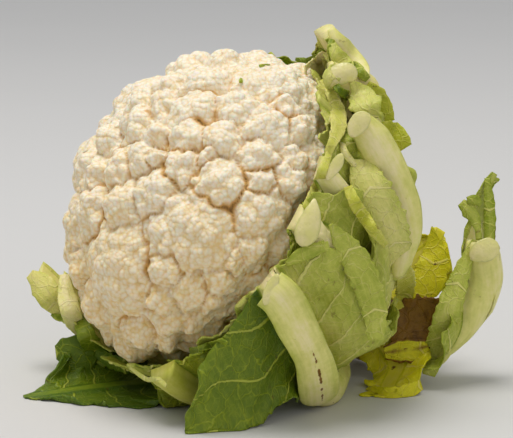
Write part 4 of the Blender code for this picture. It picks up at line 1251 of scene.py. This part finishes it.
def lifted(points):
    """The points of a leaf, moved out past the finished pieces that its blade would dip into."""
    away = unit(points - np.array(HEART))
    reach = np.linalg.norm(points - np.array(HEART), axis=-1)
    lift = np.zeros(reach.shape)
    low, high = points.min((0, 1)), points.max((0, 1))
    trees = [tree for tree, box in finished if (box[0] < high).all() and (box[1] > low).all()]
    for place in np.ndindex(reach.shape):
        if place[0] < ROWS_IN_STALK:
            continue
        out = Vector(away[place])
        start = HEART + out * (reach[place] + MOST_LIFT)
        for tree in trees:
            hit = tree.ray_cast(start, -out, MOST_LIFT + CLEARANCE)[0]
            if hit:
                lift[place] = max(lift[place], (hit - HEART).length + CLEARANCE - reach[place])
    return points + away * eased(np.maximum(lift, 0))[..., None]


# %% [markdown]
# The sheet is a grid made by an operator, whose points are then moved into place. The Solidify modifier
# gives it its wall, on the outer side only, and a vertex group says how thick it is at each point: under
# a millimetre in the blade, and a centimetre along the rib. The rim of the wall is where the knife cut,
# so it takes a second material.

# %% From a sheet to a closed piece


def applied(thing):
    """The object with its modifiers made into its mesh."""
    bpy.context.scene.collection.objects.link(thing)
    graph = bpy.context.evaluated_depsgraph_get()
    mesh = bpy.data.meshes.new_from_object(thing.evaluated_get(graph))
    thing.modifiers.clear()
    thing.data = mesh
    return thing


def sheet_piece(name, points, thick, values):
    """A closed piece from rows of points, with how thick it is and its attributes at each."""
    rows, columns = points.shape[:2]
    bm = bmesh.new()
    weights = bm.verts.layers.deform.verify()
    bmesh.ops.create_grid(bm, x_segments=columns - 1, y_segments=rows - 1, size=0.5)
    order = sorted(bm.verts, key=lambda v: (round(v.co.y, 5), round(v.co.x, 5)))
    for k, (vertex, point, depth) in enumerate(zip(order, points.reshape(-1, 3), thick.ravel())):
        vertex.co = point
        vertex[weights][0] = depth / thick.max()
        vertex.index = k
    bm.verts.sort()
    mesh = bpy.data.meshes.new(name)
    bm.to_mesh(mesh)
    bm.free()
    mesh.shade_smooth()
    for key, value in values.items():
        add_attribute(mesh, key, np.broadcast_to(value, (rows, columns)).ravel())
    piece = bpy.data.objects.new(name, mesh)
    piece.vertex_groups.new(name="thickness")
    solidify = piece.modifiers.new("thickness", "SOLIDIFY")
    solidify.thickness = thick.max()
    solidify.offset = 1.0
    solidify.vertex_group = "thickness"
    solidify.material_offset_rim = 1
    piece = applied(piece)
    outer = len(piece.data.vertices) // 2
    for k, vertex in enumerate(piece.data.vertices):
        vertex.co.z = max(vertex.co.z, 0.0 if k < outer else BLADE)
    tree = BVHTree.FromObject(piece, bpy.context.evaluated_depsgraph_get())
    corners = np.array([v.co for v in piece.data.vertices])
    finished.append((tree, (corners.min(0), corners.max(0))))
    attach(piece, "root")
    return piece


# %% The leaves' pieces
KNIFE_REACH = 0.012


def make_leaf(leaf, looks):
    """The finished piece of a leaf. Where its rib was cut off, the cut face shows its flesh."""
    fine = fine_leaf(leaf, looks)
    rows, run = fine["rows"], fine["run"]
    near_end = np.abs(rows - leaf["rib_end"]) < KNIFE_REACH
    values = {
        "tone": tones(leaf, looks, rows), "veins": fine["veins"], "across": fine["offsets"],
        "run": run, "blade": SHARES, "brown": browning(looks, rows, run),
        "knife": near_end[:, None] & (SHARES == 0) & (leaf["rib_end"] < 1),
    }
    piece = sheet_piece(leaf["name"] + "_leaf", lifted(fine["points"]), fine["thick"], values)
    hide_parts("leaf_" + leaf["name"])
    return piece


pieces = []
for leaf_sizes in LEAVES:
    piece = make_leaf(leaf_sizes, LOOKS[leaf_sizes["name"]])
    pieces.append((piece, leaf_sizes["kind"]))
    print(piece.name, len(piece.data.polygons), "faces")

# %% [markdown]
# ### Torn strips
#
# When the head was trimmed and packed, bits of blade tore and curled between the leaves, above all where
# the cut ends stand beside the curd. They are laid on afterwards, the way a model maker glues on scraps:
# each is a strip along a few points of the picture, set on whatever the camera meets there and raised a
# little. So they sit right in the picture and are solid from every other side.

# %% The table of strips


def strip(name, node, kind, path, width, tone, bow=0.3, brown=(0.0, 0.0), seed=1, **more):
    """A torn strip that belongs to a leaf.

    kind: "cut" shows the pale flesh of a trimmed rib, "rib" is a smooth piece of rib without veins, and
    the others are blade of that kind of leaf.
    path: its middle line, as points across and down the picture, and how many millimetres nearer than
    what lies there. width: how wide it is along its length, in points of the picture.
    tone, brown: in its middle and at its edges. On a rib, brown is the strength of a scar.
    bow: how far the middle stands out, as a share of half the width. teeth: how ragged its edges are.
    distance: how far ahead of the camera it is, in metres, where it doesn't follow what lies there.
    """
    plain = dict(
        name=name, node=node, kind=kind, path=path, width=width, tone=tone, bow=bow, brown=brown,
        seed=seed, teeth=0.0 if kind in ("cut", "rib") else 0.08, distance=None,
    )
    return {**plain, **more}


STRIPS = (
    strip("curled_strip", "top", "dark", ((295, 59, 1), (303, 60, 2), (310, 54, 4), (318, 51, 6),
          (324, 53, 6)), (2, 6, 6, 5, 3), (0.7, 0.55), 0.5, seed=1),
    strip("pale_tear", "collar_top", "pale", ((303, 70, 3), (311, 64, 8), (318, 58, 10), (323, 52, 10)),
          (8, 17, 18, 10), (0.02, 0.1), 0.15, seed=2),
    strip("hollow_fill", "collar_top", "pale", ((322, 52, 6), (324, 64, 9), (328, 78, 9), (333, 92, 8)),
          (10, 16, 18, 14), (0.2, 0.3), 0.1, seed=31),
    strip("dark_fold", "top", "green", ((331, 40, 2), (330, 50, 2), (326, 60, 3), (327, 71, 3)),
          (5, 8, 9, 4), (0.66, 0.45), 0.3, (0, 0.2), 3),
    strip("top_rib", "top", "rib", ((331, 30, 1), (337, 42, 2), (346, 55, 3), (355, 67, 3), (364, 79, 2)),
          (3, 18, 18, 15, 8), (0.06, 0.16), 0.45, seed=41),
    strip("top_blade", "top", "pale", ((331, 44, 3), (335, 54, 4), (342, 63, 4), (351, 71, 3)),
          (8, 16, 16, 8), (0.3, 0.36), 0.05, seed=32),
    strip("side_tear", "top", "pale", ((320, 56, 10), (319, 68, 9), (322, 80, 7), (328, 90, 6)),
          (5, 8, 8, 5), (0.36, 0.2), 0.2, seed=4),
    strip("upper_cut", "upper", "cut", ((327, 86, 4), (331, 79, 5), (338, 74, 5), (346, 73, 5),
          (354, 78, 4)), (12, 18, 20, 20, 14), (0, 1), 0.4, seed=33),
    strip("dark_lobe", "upper", "green", ((345, 65, 3), (352, 66, 4), (359, 72, 4), (366, 79, 3)),
          (5, 9, 11, 6), (0.62, 0.45), 0.3, (0, 0.3), 5),
    strip("dark_gap", "upper", "dark", ((333, 85, 8), (338, 91, 8), (343, 98, 6), (345, 110, 4)),
          (7, 9, 6, 3), (0.9, 0.7), -0.3, seed=6),
    strip("upper_blade", "upper", "pale", ((351, 82, 3), (358, 93, 5), (365, 105, 5), (371, 119, 3)),
          (5, 26, 34, 12), (0.26, 0.34), 0.12, (0, 0.1), 7),
    strip("ragged_edge", "upper", "bright", ((366, 84, 3), (375, 91, 4), (382, 103, 4), (389, 121, 3)),
          (6, 13, 14, 9), (0.5, 0.4), 0.12, (0.1, 0.5), 8),
    strip("corner_lobe", "upper", "bright", ((380, 126, 2), (390, 131, 2), (399, 138, 3), (405, 147, 3)),
          (10, 19, 20, 12), (0.52, 0.45), 0.1, (0, 0.25), 9),
    strip("curd_strip", "collar_upper", "yellow_green", ((321, 80, 4), (329, 93, 5), (335, 108, 5),
          (336, 124, 5), (332, 140, 3), (327, 154, 2)), (5, 11, 17, 18, 13, 6), (0.34, 0.2), 0.12,
          seed=10),
    strip("curd_strip_low", "collar_upper", "yellow_green", ((328, 153, 2), (321, 171, 3), (314, 189, 3),
          (303, 208, 2)), (6, 10, 11, 6), (0.36, 0.25), 0.2, seed=11),
    strip("inner_cut", "inner_right", "cut", ((340, 153, 4), (337, 160, 4), (332, 169, 4),
          (325, 179, 4)), (8, 11, 9, 6), (0, 1), 0.2, seed=12),
    strip("torn_middle", "right", "green", ((342, 128, 2), (345, 141, 3), (353, 152, 4), (366, 160, 3)),
          (9, 14, 14, 8), (0.42, 0.62), 0.12, (0, 0.2), 13),
    strip("pale_middle", "right", "pale", ((340, 138, 4), (342, 150, 5), (350, 161, 5), (357, 171, 4)),
          (3, 6, 6, 3), (0.1, 0.2), 0.2, seed=14),
    strip("right_cut", "right", "cut", ((349, 136, 5), (353, 128, 5), (359, 120, 5), (367, 114, 5)),
          (11, 17, 19, 14), (0, 1), 0.2, seed=34, distance=0.851),
    strip("right_rib", "right", "rib", ((356, 121, 0), (371, 136, -2), (386, 160, -5), (400, 187, -8),
          (410, 213, -11), (414, 238, -14), (411, 262, -18), (407, 282, -22)),
          (20, 31, 32, 30, 30, 25, 18, 10), (0.06, 0.24), 0.5, seed=42, distance=0.851),
    strip("crumpled_blade", "right", "pale", ((362, 160, 3), (364, 176, 4), (374, 198, 4), (386, 222, 5),
          (393, 246, 6), (397, 276, 6)), (22, 38, 38, 32, 26, 12), (0.2, 0.34), 0.08, (0, 0.1), 35),
    strip("rolled_edge", "right", "bright", ((346, 186, 5), (352, 201, 6), (361, 215, 6), (371, 229, 5),
          (384, 244, 4)), (8, 12, 11, 9, 5), (0.46, 0.36), 0.25, (0, 0.3), 15),
    strip("front_fold", "front", "green", ((327, 222, 8), (339, 238, 4), (353, 256, 0), (364, 276, -2),
          (373, 298, -5), (379, 320, -8), (380, 344, -10)), (4, 20, 28, 30, 28, 24, 16), (0.4, 0.46), 0.08,
          (0, 0.2), 16, distance=0.832),
    strip("front_back_edge", "inner_right", "bright", ((402, 246, 6), (401, 266, 7), (397, 287, 6),
          (390, 308, 4)), (6, 20, 22, 9), (0.44, 0.34), 0.1, (0, 0.3), 17),
    strip("oval_cut", "inner_front", "cut", ((314, 199, 1), (312, 210, 2), (309, 222, 2), (305, 234, 2),
          (301, 245, 1)), (5, 15, 22, 24, 20), (0, 1), 0.35, seed=36),
    strip("front_rib", "front", "rib", ((269, 288, 2), (279, 296, 2), (288, 309, 2), (296, 325, 1),
          (305, 342, 1), (313, 360, 0), (317, 376, 0), (319, 390, -1), (320, 402, -1)),
          (35, 37, 37, 35, 34, 37, 40, 39, 30), (0.05, 0.3), 0.28, (1.35, 0), 45),
    strip("front_cut", "front", "cut", ((276, 272, 5), (272, 281, 5), (268, 291, 5), (263, 303, 5)),
          (6, 11, 12, 8), (0, 1), 0.15, seed=48),
    strip("front_top", "front", "green", ((285, 263, 5), (297, 254, 6), (311, 248, 6), (327, 244, 5)),
          (5, 13, 14, 8), (0.4, 0.46), 0.1, (0, 0.2), 43),
    strip("splayed_cut", "splayed", "cut", ((469, 258, 4), (476, 252, 5), (485, 248, 5), (497, 247, 4)),
          (14, 21, 23, 18), (0, 1), 0.15, seed=37, distance=0.908),
    strip("splayed_blade", "splayed", "pale", ((474, 240, 2), (463, 262, 4), (453, 288, 5),
          (444, 315, 5), (435, 345, 5), (427, 374, 3)), (6, 16, 24, 26, 25, 12), (0.34, 0.44), 0.1,
          (0, 0.3), 38),
    strip("hook", "splayed", "green", ((478, 240, 1), (477, 228, 1), (473, 217, 1), (466, 208, 2),
          (460, 202, 2)), (5, 6, 11, 15, 8), (0.36, 0.5), 0.2, (0, 0.5), 18, distance=0.907),
    strip("hook_tip", "splayed", "green", ((466, 200, 2), (473, 199, 2), (480, 204, 1)), (6, 9, 5),
          (0.5, 0.55), 0.2, (0.1, 0.5), 40, distance=0.906),
    strip("tongue", "splayed", "green", ((489, 240, 0), (490, 220, 0), (489, 200, 0), (487, 178, 0)),
          (11, 11, 10, 5), (0.45, 0.55), 0.15, (0.1, 0.6), 19, distance=0.91),
    # A brown patch laid between the wilted leaves
    strip("brown_patch", "wilted_lower", "yellow", ((390, 326, 0), (404, 325, 0), (419, 323, 0),
          (433, 320, 0), (446, 316, 0)), (36, 50, 54, 50, 36), (0.5, 0.5), -0.1, (2.4, 2.2), 20,
          distance=0.918),
    strip("ochre_band", "wilted_lower", "yellow", ((384, 353, 0), (398, 351, 0), (413, 350, 0),
          (428, 346, 0)), (12, 24, 24, 12), (0.5, 0.6), 0.1, (0.7, 1.4), 46, distance=0.9175),
    strip("wilted_hem", "wilted_lower", "yellow", ((370, 390, 2), (386, 394, 3), (402, 392, 3),
          (420, 384, 2)), (10, 16, 16, 10), (0.5, 0.5), 0.1, (0.1, 0.5), 47),
    strip("pale_tendril", "wilted_upper", "yellow", ((408, 299, 5), (420, 304, 5), (432, 303, 5),
          (442, 298, 5)), (3, 6, 6, 3), (0.2, 0.3), 0.3, (0, 0.5), 21),
    strip("wilted_flag", "wilted_upper", "yellow", ((410, 296, 3), (424, 283, 3), (432, 265, 3),
          (433, 246, 2), (431, 226, 2)), (14, 34, 34, 18, 1), (0.5, 0.56), 0.08, (0, 0.4), 22),
    strip("left_end", "left", "yellow_green", ((30, 274, 1), (40, 282, 3), (50, 296, 3), (60, 314, 1)),
          (9, 26, 24, 8), (0.2, 0.3), 0.25, seed=39, teeth=0.02),
    strip("left_bit", "left", "dark", ((52, 313, 3), (57, 316, 4), (63, 317, 4), (70, 322, 3)),
          (3, 7, 7, 3), (0.7, 0.5), 0.2, (0, 0.3), 23),
    strip("left_inner_blade", "left_inner", "pale", ((64, 274, 4), (66, 292, 5), (71, 312, 5),
          (80, 334, 3)), (8, 19, 18, 6), (0.08, 0.17), 0.2, seed=24, teeth=0.02),
    strip("floor_lobe", "floor", "dark", ((94, 364, 2), (82, 358, 3), (70, 351, 3), (56, 352, 2)),
          (16, 32, 36, 14), (0.76, 0.86), 0.1, (0, 0.2), 44),
    strip("floor_ruffle", "floor", "green", ((78, 316, 2), (86, 334, 3), (95, 350, 4), (107, 364, 3)),
          (8, 18, 20, 8), (0.62, 0.72), 0.15, (0, 0.3), 25),
    strip("dark_ruffle", "collar_lower", "dark", ((92, 346, 3), (108, 356, 4), (126, 363, 4),
          (146, 362, 3)), (8, 16, 16, 6), (0.78, 0.9), 0.2, (0, 0.2), 26),
    strip("pale_sliver", "lower", "green", ((130, 366, 5), (143, 370, 6), (156, 376, 6), (166, 384, 5)),
          (2, 4, 5, 3), (0.3, 0.35), 0.3, seed=27),
    strip("low_ruffle", "lower", "dark", ((188, 346, 3), (200, 350, 5), (212, 345, 5), (224, 338, 4)),
          (6, 14, 14, 8), (0.72, 0.6), 0.2, (0, 0.2), 28),
    strip("crumb", "upper", "green", ((259, 66.5, 0.5), (262, 65.5, 0.8), (265, 64.5, 0.5)), (1.5, 3, 2),
          (0.5, 0.4), 0.5, seed=29),
    strip("small_crumb", "upper", "green", ((240, 79, 0.5), (240.5, 81, 0.8), (241, 83, 0.5)),
          (1.5, 2.5, 1.5), (0.6, 0.5), 0.5, seed=30),
)
print(len(STRIPS), "torn strips")

# %% Where a strip lies
PICTURE = (513, 438)
POINT = SENSOR_WIDTH / LENS / PICTURE[0]
MILLIMETRE = 0.001
STEEPEST = 2.2


def line_of_sight(x, y):
    """Where the camera is, and the way through a point of the picture, one metre ahead of it."""
    ahead = Vector(((x - PICTURE[0] / 2) * POINT, (PICTURE[1] / 2 - y) * POINT, -1))
    return camera.matrix_world.translation, camera.matrix_world.to_3x3() @ ahead


def depth_at(x, y):
    """How far ahead of the camera a finished piece lies at a point of the picture, or None."""
    eye, ahead = line_of_sight(x, y)
    hits = (tree.ray_cast(eye, ahead)[0] for tree in seen_trees)
    return min(((hit - eye).length / ahead.length for hit in hits if hit), default=None)


def strip_corners(path, kind, distance):
    """The corners of a strip's middle line, in metres across, down and ahead, and how far off it is.

    A corner beside which nothing lies is as far as the one before it. A cut face is as far all over as
    in its middle. No strip runs back more than STEEPEST times as far as it runs sideways, so where one
    hangs over an edge it doesn't drop behind it.
    """
    depths = [depth_at(x, y) for x, y, _ in path]
    known = distance or next(depth for depth in depths if depth)
    if kind == "cut":
        distance = distance or depths[len(depths) // 2]
    if distance:
        depths = [distance] * len(path)
    corners = []
    for (x, y, nearer), depth in zip(path, depths):
        known = depth or known
        corners.append([x * POINT * known, y * POINT * known, known - nearer * MILLIMETRE])
    forwards = list(zip(corners, corners[1:]))
    for here, there in forwards + [(b, a) for a, b in reversed(forwards)]:
        sideways = math.dist(here[:2], there[:2])
        there[2] = min(there[2], here[2] + STEEPEST * sideways)
    return np.array(corners), known


# %% Shaping a strip
ACROSS_STRIP = np.linspace(-1, 1, 17)
STRIP_STEP = 0.001
LEAST_ROWS = 14
STRIP_WAVE = 0.06
SCAR_BREAKS = (0.0031, 0.0068)
SCAR_BENDS = (0.011, 0.027)


def strip_halves(kind, rows, width, point):
    """Half a strip's width. A cut face is rounded at both ends, and a rib at its far end."""
    half = along(width, rows) * point / 2
    if kind == "cut":
        return half * np.sqrt(1 - np.abs(2 * rows - 1) ** 3)
    if kind == "rib":
        return half * np.sqrt(1 - np.clip(1 - (1 - rows) / 0.1, 0, 1) ** 2)
    return half


def rib_scar(rows, run, random):
    """A broken brown line that wanders along the second half of a rib, beside its middle."""
    broken = np.clip(0.8 + 0.25 * wavy(run, SCAR_BREAKS, random), 0, 1)
    broken = broken * np.clip((rows - 0.4) / 0.15, 0, 1) * (rows < 0.96)
    aside = ACROSS_STRIP + 0.12 + 0.05 * wavy(run, SCAR_BENDS, random)[:, None]
    return broken[:, None] * np.exp(-((aside / 0.06) ** 2))


def strip_points(line, half, reach, bulge):
    """The points of a strip: each beside the middle line as the camera sees it, and nearer by the bulge."""
    way = unit(np.gradient(line[:, :2], axis=0))
    ahead = line[:, 2:]
    x = (line[:, :1] - way[:, 1:] * reach) / ahead / POINT
    y = (line[:, 1:2] + way[:, :1] * reach) / ahead / POINT
    depth = ahead - half[:, None] * bulge
    points = np.zeros((*reach.shape, 3))
    for place in np.ndindex(reach.shape):
        eye, way_there = line_of_sight(x[place], y[place])
        points[place] = eye + way_there * depth[place]
    return points


# %% Laying the strips
STRIP_WALL = 0.0007
RIB_WALL = 0.0018


def make_strip(name, node, kind, path, width, tone, bow, brown, seed, teeth, distance):
    """The finished piece of a strip."""
    random = np.random.default_rng(seed)
    u = ACROSS_STRIP
    share = np.abs(u)
    corners, known = strip_corners(path, kind, distance)
    length = smooth_route(corners, np.array([0.0]))[1]
    rows = np.linspace(0, 1, max(LEAST_ROWS, round(length / STRIP_STEP)))
    line = smooth_route(corners, rows)[0]
    run = rows * length
    half = strip_halves(kind, rows, width, POINT * known)
    ragged = np.stack([wavy(run, TEETH, random), wavy(run, TEETH, random)], 1)[:, (u > 0).astype(int)]
    reach = half[:, None] * u * (1 + teeth * ragged * share**3)
    wave = STRIP_WAVE * wavy(run, RUFFLES, random)[:, None] * u * (kind not in ("cut", "rib"))
    points = strip_points(line, half, reach, bow * (1 - u**2) + wave)
    browned = np.maximum(brown[0] * (1 - share), brown[1] * share**3)
    if kind == "rib":
        browned = brown[0] * rib_scar(rows, run, random)
    values = {
        "tone": tone[0] + (tone[1] - tone[0]) * share**1.5, "across": reach, "run": run[:, None],
        "veins": 0.6 * vein_count(np.abs(reach), run[:, None], random.uniform()),
        "blade": (0.6 + 0.4 * share) * (kind != "rib"), "brown": browned, "knife": 0 * share,
    }
    thick = np.full(reach.shape, RIB_WALL if kind == "rib" else STRIP_WALL)
    piece = sheet_piece(name, points, thick, values)
    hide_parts("leaf_" + node)
    return piece


graph = bpy.context.evaluated_depsgraph_get()
seen_trees = [tree for tree, _ in finished] + [BVHTree.FromObject(curd, graph)]
for sizes in STRIPS:
    piece = make_strip(**sizes)
    pieces.append((piece, sizes["kind"]))
print(len(STRIPS), "strips laid")

# %% [markdown]
# ### The leaves' skin
#
# All leaves share one group of nodes. It turns the tone into a colour, draws the side veins from the
# attribute that counts them, and lays two nets of finer veins between them. Veins are paler than the
# blade and stand up a little. Noise makes the green drift, and where a leaf is old it has brown spots.

# %% The group of nodes
LEAF_TONES = (
    (0.0, (0.90, 0.80, 0.44, 1)),
    (0.15, (0.76, 0.72, 0.24, 1)),
    (0.35, (0.50, 0.53, 0.085, 1)),
    (0.55, (0.27, 0.335, 0.016, 1)),
    (0.78, (0.125, 0.19, 0.006, 1)),
    (1.0, (0.065, 0.125, 0.002, 1)),
)
OLD_TONES = (
    (0.0, (0.85, 0.72, 0.28, 1)),
    (0.45, (0.72, 0.66, 0.010, 1)),
    (0.8, (0.38, 0.40, 0.004, 1)),
)
SPOT_BROWN = (0.13, 0.058, 0.010, 1)
WITHERED = (0.22, 0.105, 0.006, 1)
ROTTEN = (0.15, 0.066, 0.003, 1)
NET_WIDE = 140.0
NET_FINE = 400.0


def ramp(tree, value, marks):
    """A colour read from a row of marks, each a position and a colour."""
    made = tree.nodes.new("ShaderNodeValToRGB")
    tree.links.new(value, made.inputs[0])
    spots = made.color_ramp.elements
    spots[0].position, spots[0].color = marks[0]
    spots[1].position, spots[1].color = marks[-1]
    for position, colour in marks[1:-1]:
        spots.new(position).color = colour
    return made.outputs[0]


def net(tree, flat, scale, width):
    """Lines between the cells of a flat pattern: 1 on a line and 0 beside it."""
    settings = {"feature": "DISTANCE_TO_EDGE", "voronoi_dimensions": "2D"}
    cells = node(tree, "TexVoronoi", settings, Vector=flat, Scale=scale)
    return stepped(tree, cells.outputs["Distance"], width, 0.0)


def leaf_group():
    """The nodes that all leaves share: from a point's attributes to its colour, roughness and height."""
    group = bpy.data.node_groups.new("leaf_surface", "ShaderNodeTree")
    sockets = (("Drift", 0.12), ("Vein Strength", 0.35), ("Spots", 0.3), ("Yellowing", 0.0))
    for name, value in sockets:
        made = group.interface.new_socket(name, in_out="INPUT", socket_type="NodeSocketFloat")
        made.default_value = value
    group.interface.new_socket("Color", in_out="OUTPUT", socket_type="NodeSocketColor")
    group.interface.new_socket("Roughness", in_out="OUTPUT", socket_type="NodeSocketFloat")
    group.interface.new_socket("Height", in_out="OUTPUT", socket_type="NodeSocketFloat")
    given = group.nodes.new("NodeGroupInput").outputs
    out = group.nodes.new("NodeGroupOutput").inputs
    place = object_coordinates(group)
    across, run = attribute(group, "across"), attribute(group, "run")
    flat = node(group, "CombineXYZ", X=across, Y=run).outputs[0]
    bend = node(group, "TexNoise", Vector=place, Scale=120.0, Detail=2.0).outputs["Color"]
    settings = {"operation": "MULTIPLY_ADD"}
    flat = node(group, "VectorMath", settings, i0=bend, i1=(0.007, 0.007, 0), i2=flat).outputs[0]
    share = attribute(group, "blade")
    blade = stepped(group, share, 0.0, 0.10)

    # Side veins: the distance to the nearest whole count, against a width that tapers to the edge
    apart = maths(group, "PINGPONG", attribute(group, "veins"), 0.5)
    width = maths(group, "MULTIPLY_ADD", share, -0.024, 0.038)
    side_vein = stepped(group, maths(group, "DIVIDE", apart, width), 1.25, 0.6)
    wide_net = maths(group, "MULTIPLY", net(group, flat, NET_WIDE, 0.07), 0.55)
    fine_net = maths(group, "MULTIPLY", net(group, flat, NET_FINE, 0.14), 0.22)
    veins = maths(group, "MAXIMUM", side_vein, maths(group, "MAXIMUM", wide_net, fine_net))
    veins = maths(group, "MULTIPLY", veins, blade)

    # The tone drifts, has streaks along the rib, and is paler along veins
    drift = maths(group, "SUBTRACT", noise_of(group, place, 32.0, 5.0, 0.6), 0.5)
    tone = maths(group, "MULTIPLY_ADD", drift, given["Drift"], attribute(group, "tone"))
    speckle = maths(group, "SUBTRACT", noise_of(group, place, 300.0, 3.0, 0.6), 0.5)
    tone = maths(group, "MULTIPLY_ADD", speckle, 0.2, tone)
    stretched = node(group, "CombineXYZ", X=maths(group, "MULTIPLY", across, 14.0), Y=run).outputs[0]
    streaks = maths(group, "SUBTRACT", noise_of(group, stretched, 45.0, 3.0, 0.6), 0.5)
    tone = maths(group, "MULTIPLY_ADD", streaks, 0.26, tone)
    paler = maths(group, "MULTIPLY", veins, given["Vein Strength"])
    tone = maths(group, "MULTIPLY", tone, maths(group, "SUBTRACT", 1.0, paler))
    colour = mixed(group, given["Yellowing"], ramp(group, tone, LEAF_TONES), ramp(group, tone, OLD_TONES))

    # Brown spots, and brown that spreads where the leaf has withered
    spots = stepped(group, noise_of(group, place, 130.0, 4.0, 0.65), 0.66, 0.72)
    spots = maths(group, "MULTIPLY", spots, given["Spots"])
    colour = mixed(group, spots, colour, SPOT_BROWN)
    blotches = noise_of(group, place, 75.0, 5.0, 0.7)
    withered = maths(group, "ADD", blotches, attribute(group, "brown"))
    rotten = stepped(group, noise_of(group, place, 190.0, 4.0), 0.45, 0.65)
    old_brown = mixed(group, rotten, WITHERED, ROTTEN)
    colour = mixed(group, stepped(group, withered, 0.92, 1.3), colour, old_brown)
    group.links.new(colour, out["Color"])
    group.links.new(maths(group, "MULTIPLY_ADD", speckle, 0.3, 0.45), out["Roughness"])
    height = maths(group, "MULTIPLY_ADD", speckle, 0.4, veins)
    group.links.new(maths(group, "MULTIPLY_ADD", streaks, 0.3, height), out["Height"])
    return group


leaf_surface = leaf_group()
print("made", leaf_surface.name)

# %% A material for each kind of leaf
CUT_FLESH = (0.84, 0.74, 0.36, 1)
CUT_GREEN = (0.74, 0.69, 0.25, 1)
CUT_STRING = (0.56, 0.56, 0.20, 1)


def leaf_material(name, drift, vein_strength, spots, yellowing):
    """One kind of leaf, with the flesh of a cut on it where the knife attribute is 1."""
    made, shader, tree = new_material(name, 0.45)
    surface = tree.nodes.new("ShaderNodeGroup")
    surface.node_tree = leaf_surface
    surface.inputs["Drift"].default_value = drift
    surface.inputs["Vein Strength"].default_value = vein_strength
    surface.inputs["Spots"].default_value = spots
    surface.inputs["Yellowing"].default_value = yellowing
    colour = mixed(tree, attribute(tree, "knife"), surface.outputs["Color"], CUT_FLESH)
    tree.links.new(colour, shader.inputs["Base Color"])
    tree.links.new(surface.outputs["Roughness"], shader.inputs["Roughness"])
    bumped(tree, surface.outputs["Height"], 0.0005, shader)
    shader.inputs["Specular IOR Level"].default_value = 0.3
    shader.inputs["Subsurface Weight"].default_value = 0.15
    shader.inputs["Subsurface Radius"].default_value = (0.0016, 0.0022, 0.0004)
    shader.inputs["Subsurface Scale"].default_value = 1.0
    return made


def cut_material():
    """The pale, wet flesh where a knife went through, with dots where its strings end."""
    made, shader, tree = new_material("leaf_cut", 0.35)
    place = object_coordinates(tree)
    strings = node(tree, "TexVoronoi", Vector=place, Scale=700.0).outputs["Distance"]
    colour = mixed(tree, stepped(tree, noise_of(tree, place, 160.0), 0.3, 0.7), CUT_FLESH, CUT_GREEN)
    colour = mixed(tree, stepped(tree, strings, 0.3, 0.1, 0, 0.25), colour, CUT_STRING)
    rim = stepped(tree, attribute(tree, "tone"), 0.6, 1.0, 0, 0.6)
    colour = mixed(tree, rim, colour, CUT_STRING)
    tree.links.new(colour, shader.inputs["Base Color"])
    bumped(tree, strings, 0.00015, shader)
    shader.inputs["Subsurface Weight"].default_value = 0.2
    shader.inputs["Subsurface Radius"].default_value = (0.003, 0.003, 0.001)
    shader.inputs["Subsurface Scale"].default_value = 1.0
    return made


# For each kind of leaf: drift of the tone, strength of the veins, brown spots and yellowing
KINDS = {
    "pale": (0.45, 0.5, 0.4, 0.0),
    "green": (0.5, 0.5, 0.5, 0.0),
    "bright": (0.4, 0.5, 0.9, 0.35),
    "dark": (0.45, 0.45, 0.5, 0.0),
    "yellow_green": (0.4, 0.45, 0.4, 0.25),
    "yellow": (0.5, 0.5, 1.0, 1.0),
}

leaf_cut = cut_material()
leaf_skins = {kind: leaf_material("leaf_" + kind, *values) for kind, values in KINDS.items()}
for piece, kind in pieces:
    piece.data.materials.clear()
    piece.data.materials.append(leaf_cut if kind == "cut" else leaf_skins.get(kind, leaf_skins["pale"]))
    piece.data.materials.append(leaf_cut)
print(len(leaf_skins), "kinds of leaf")
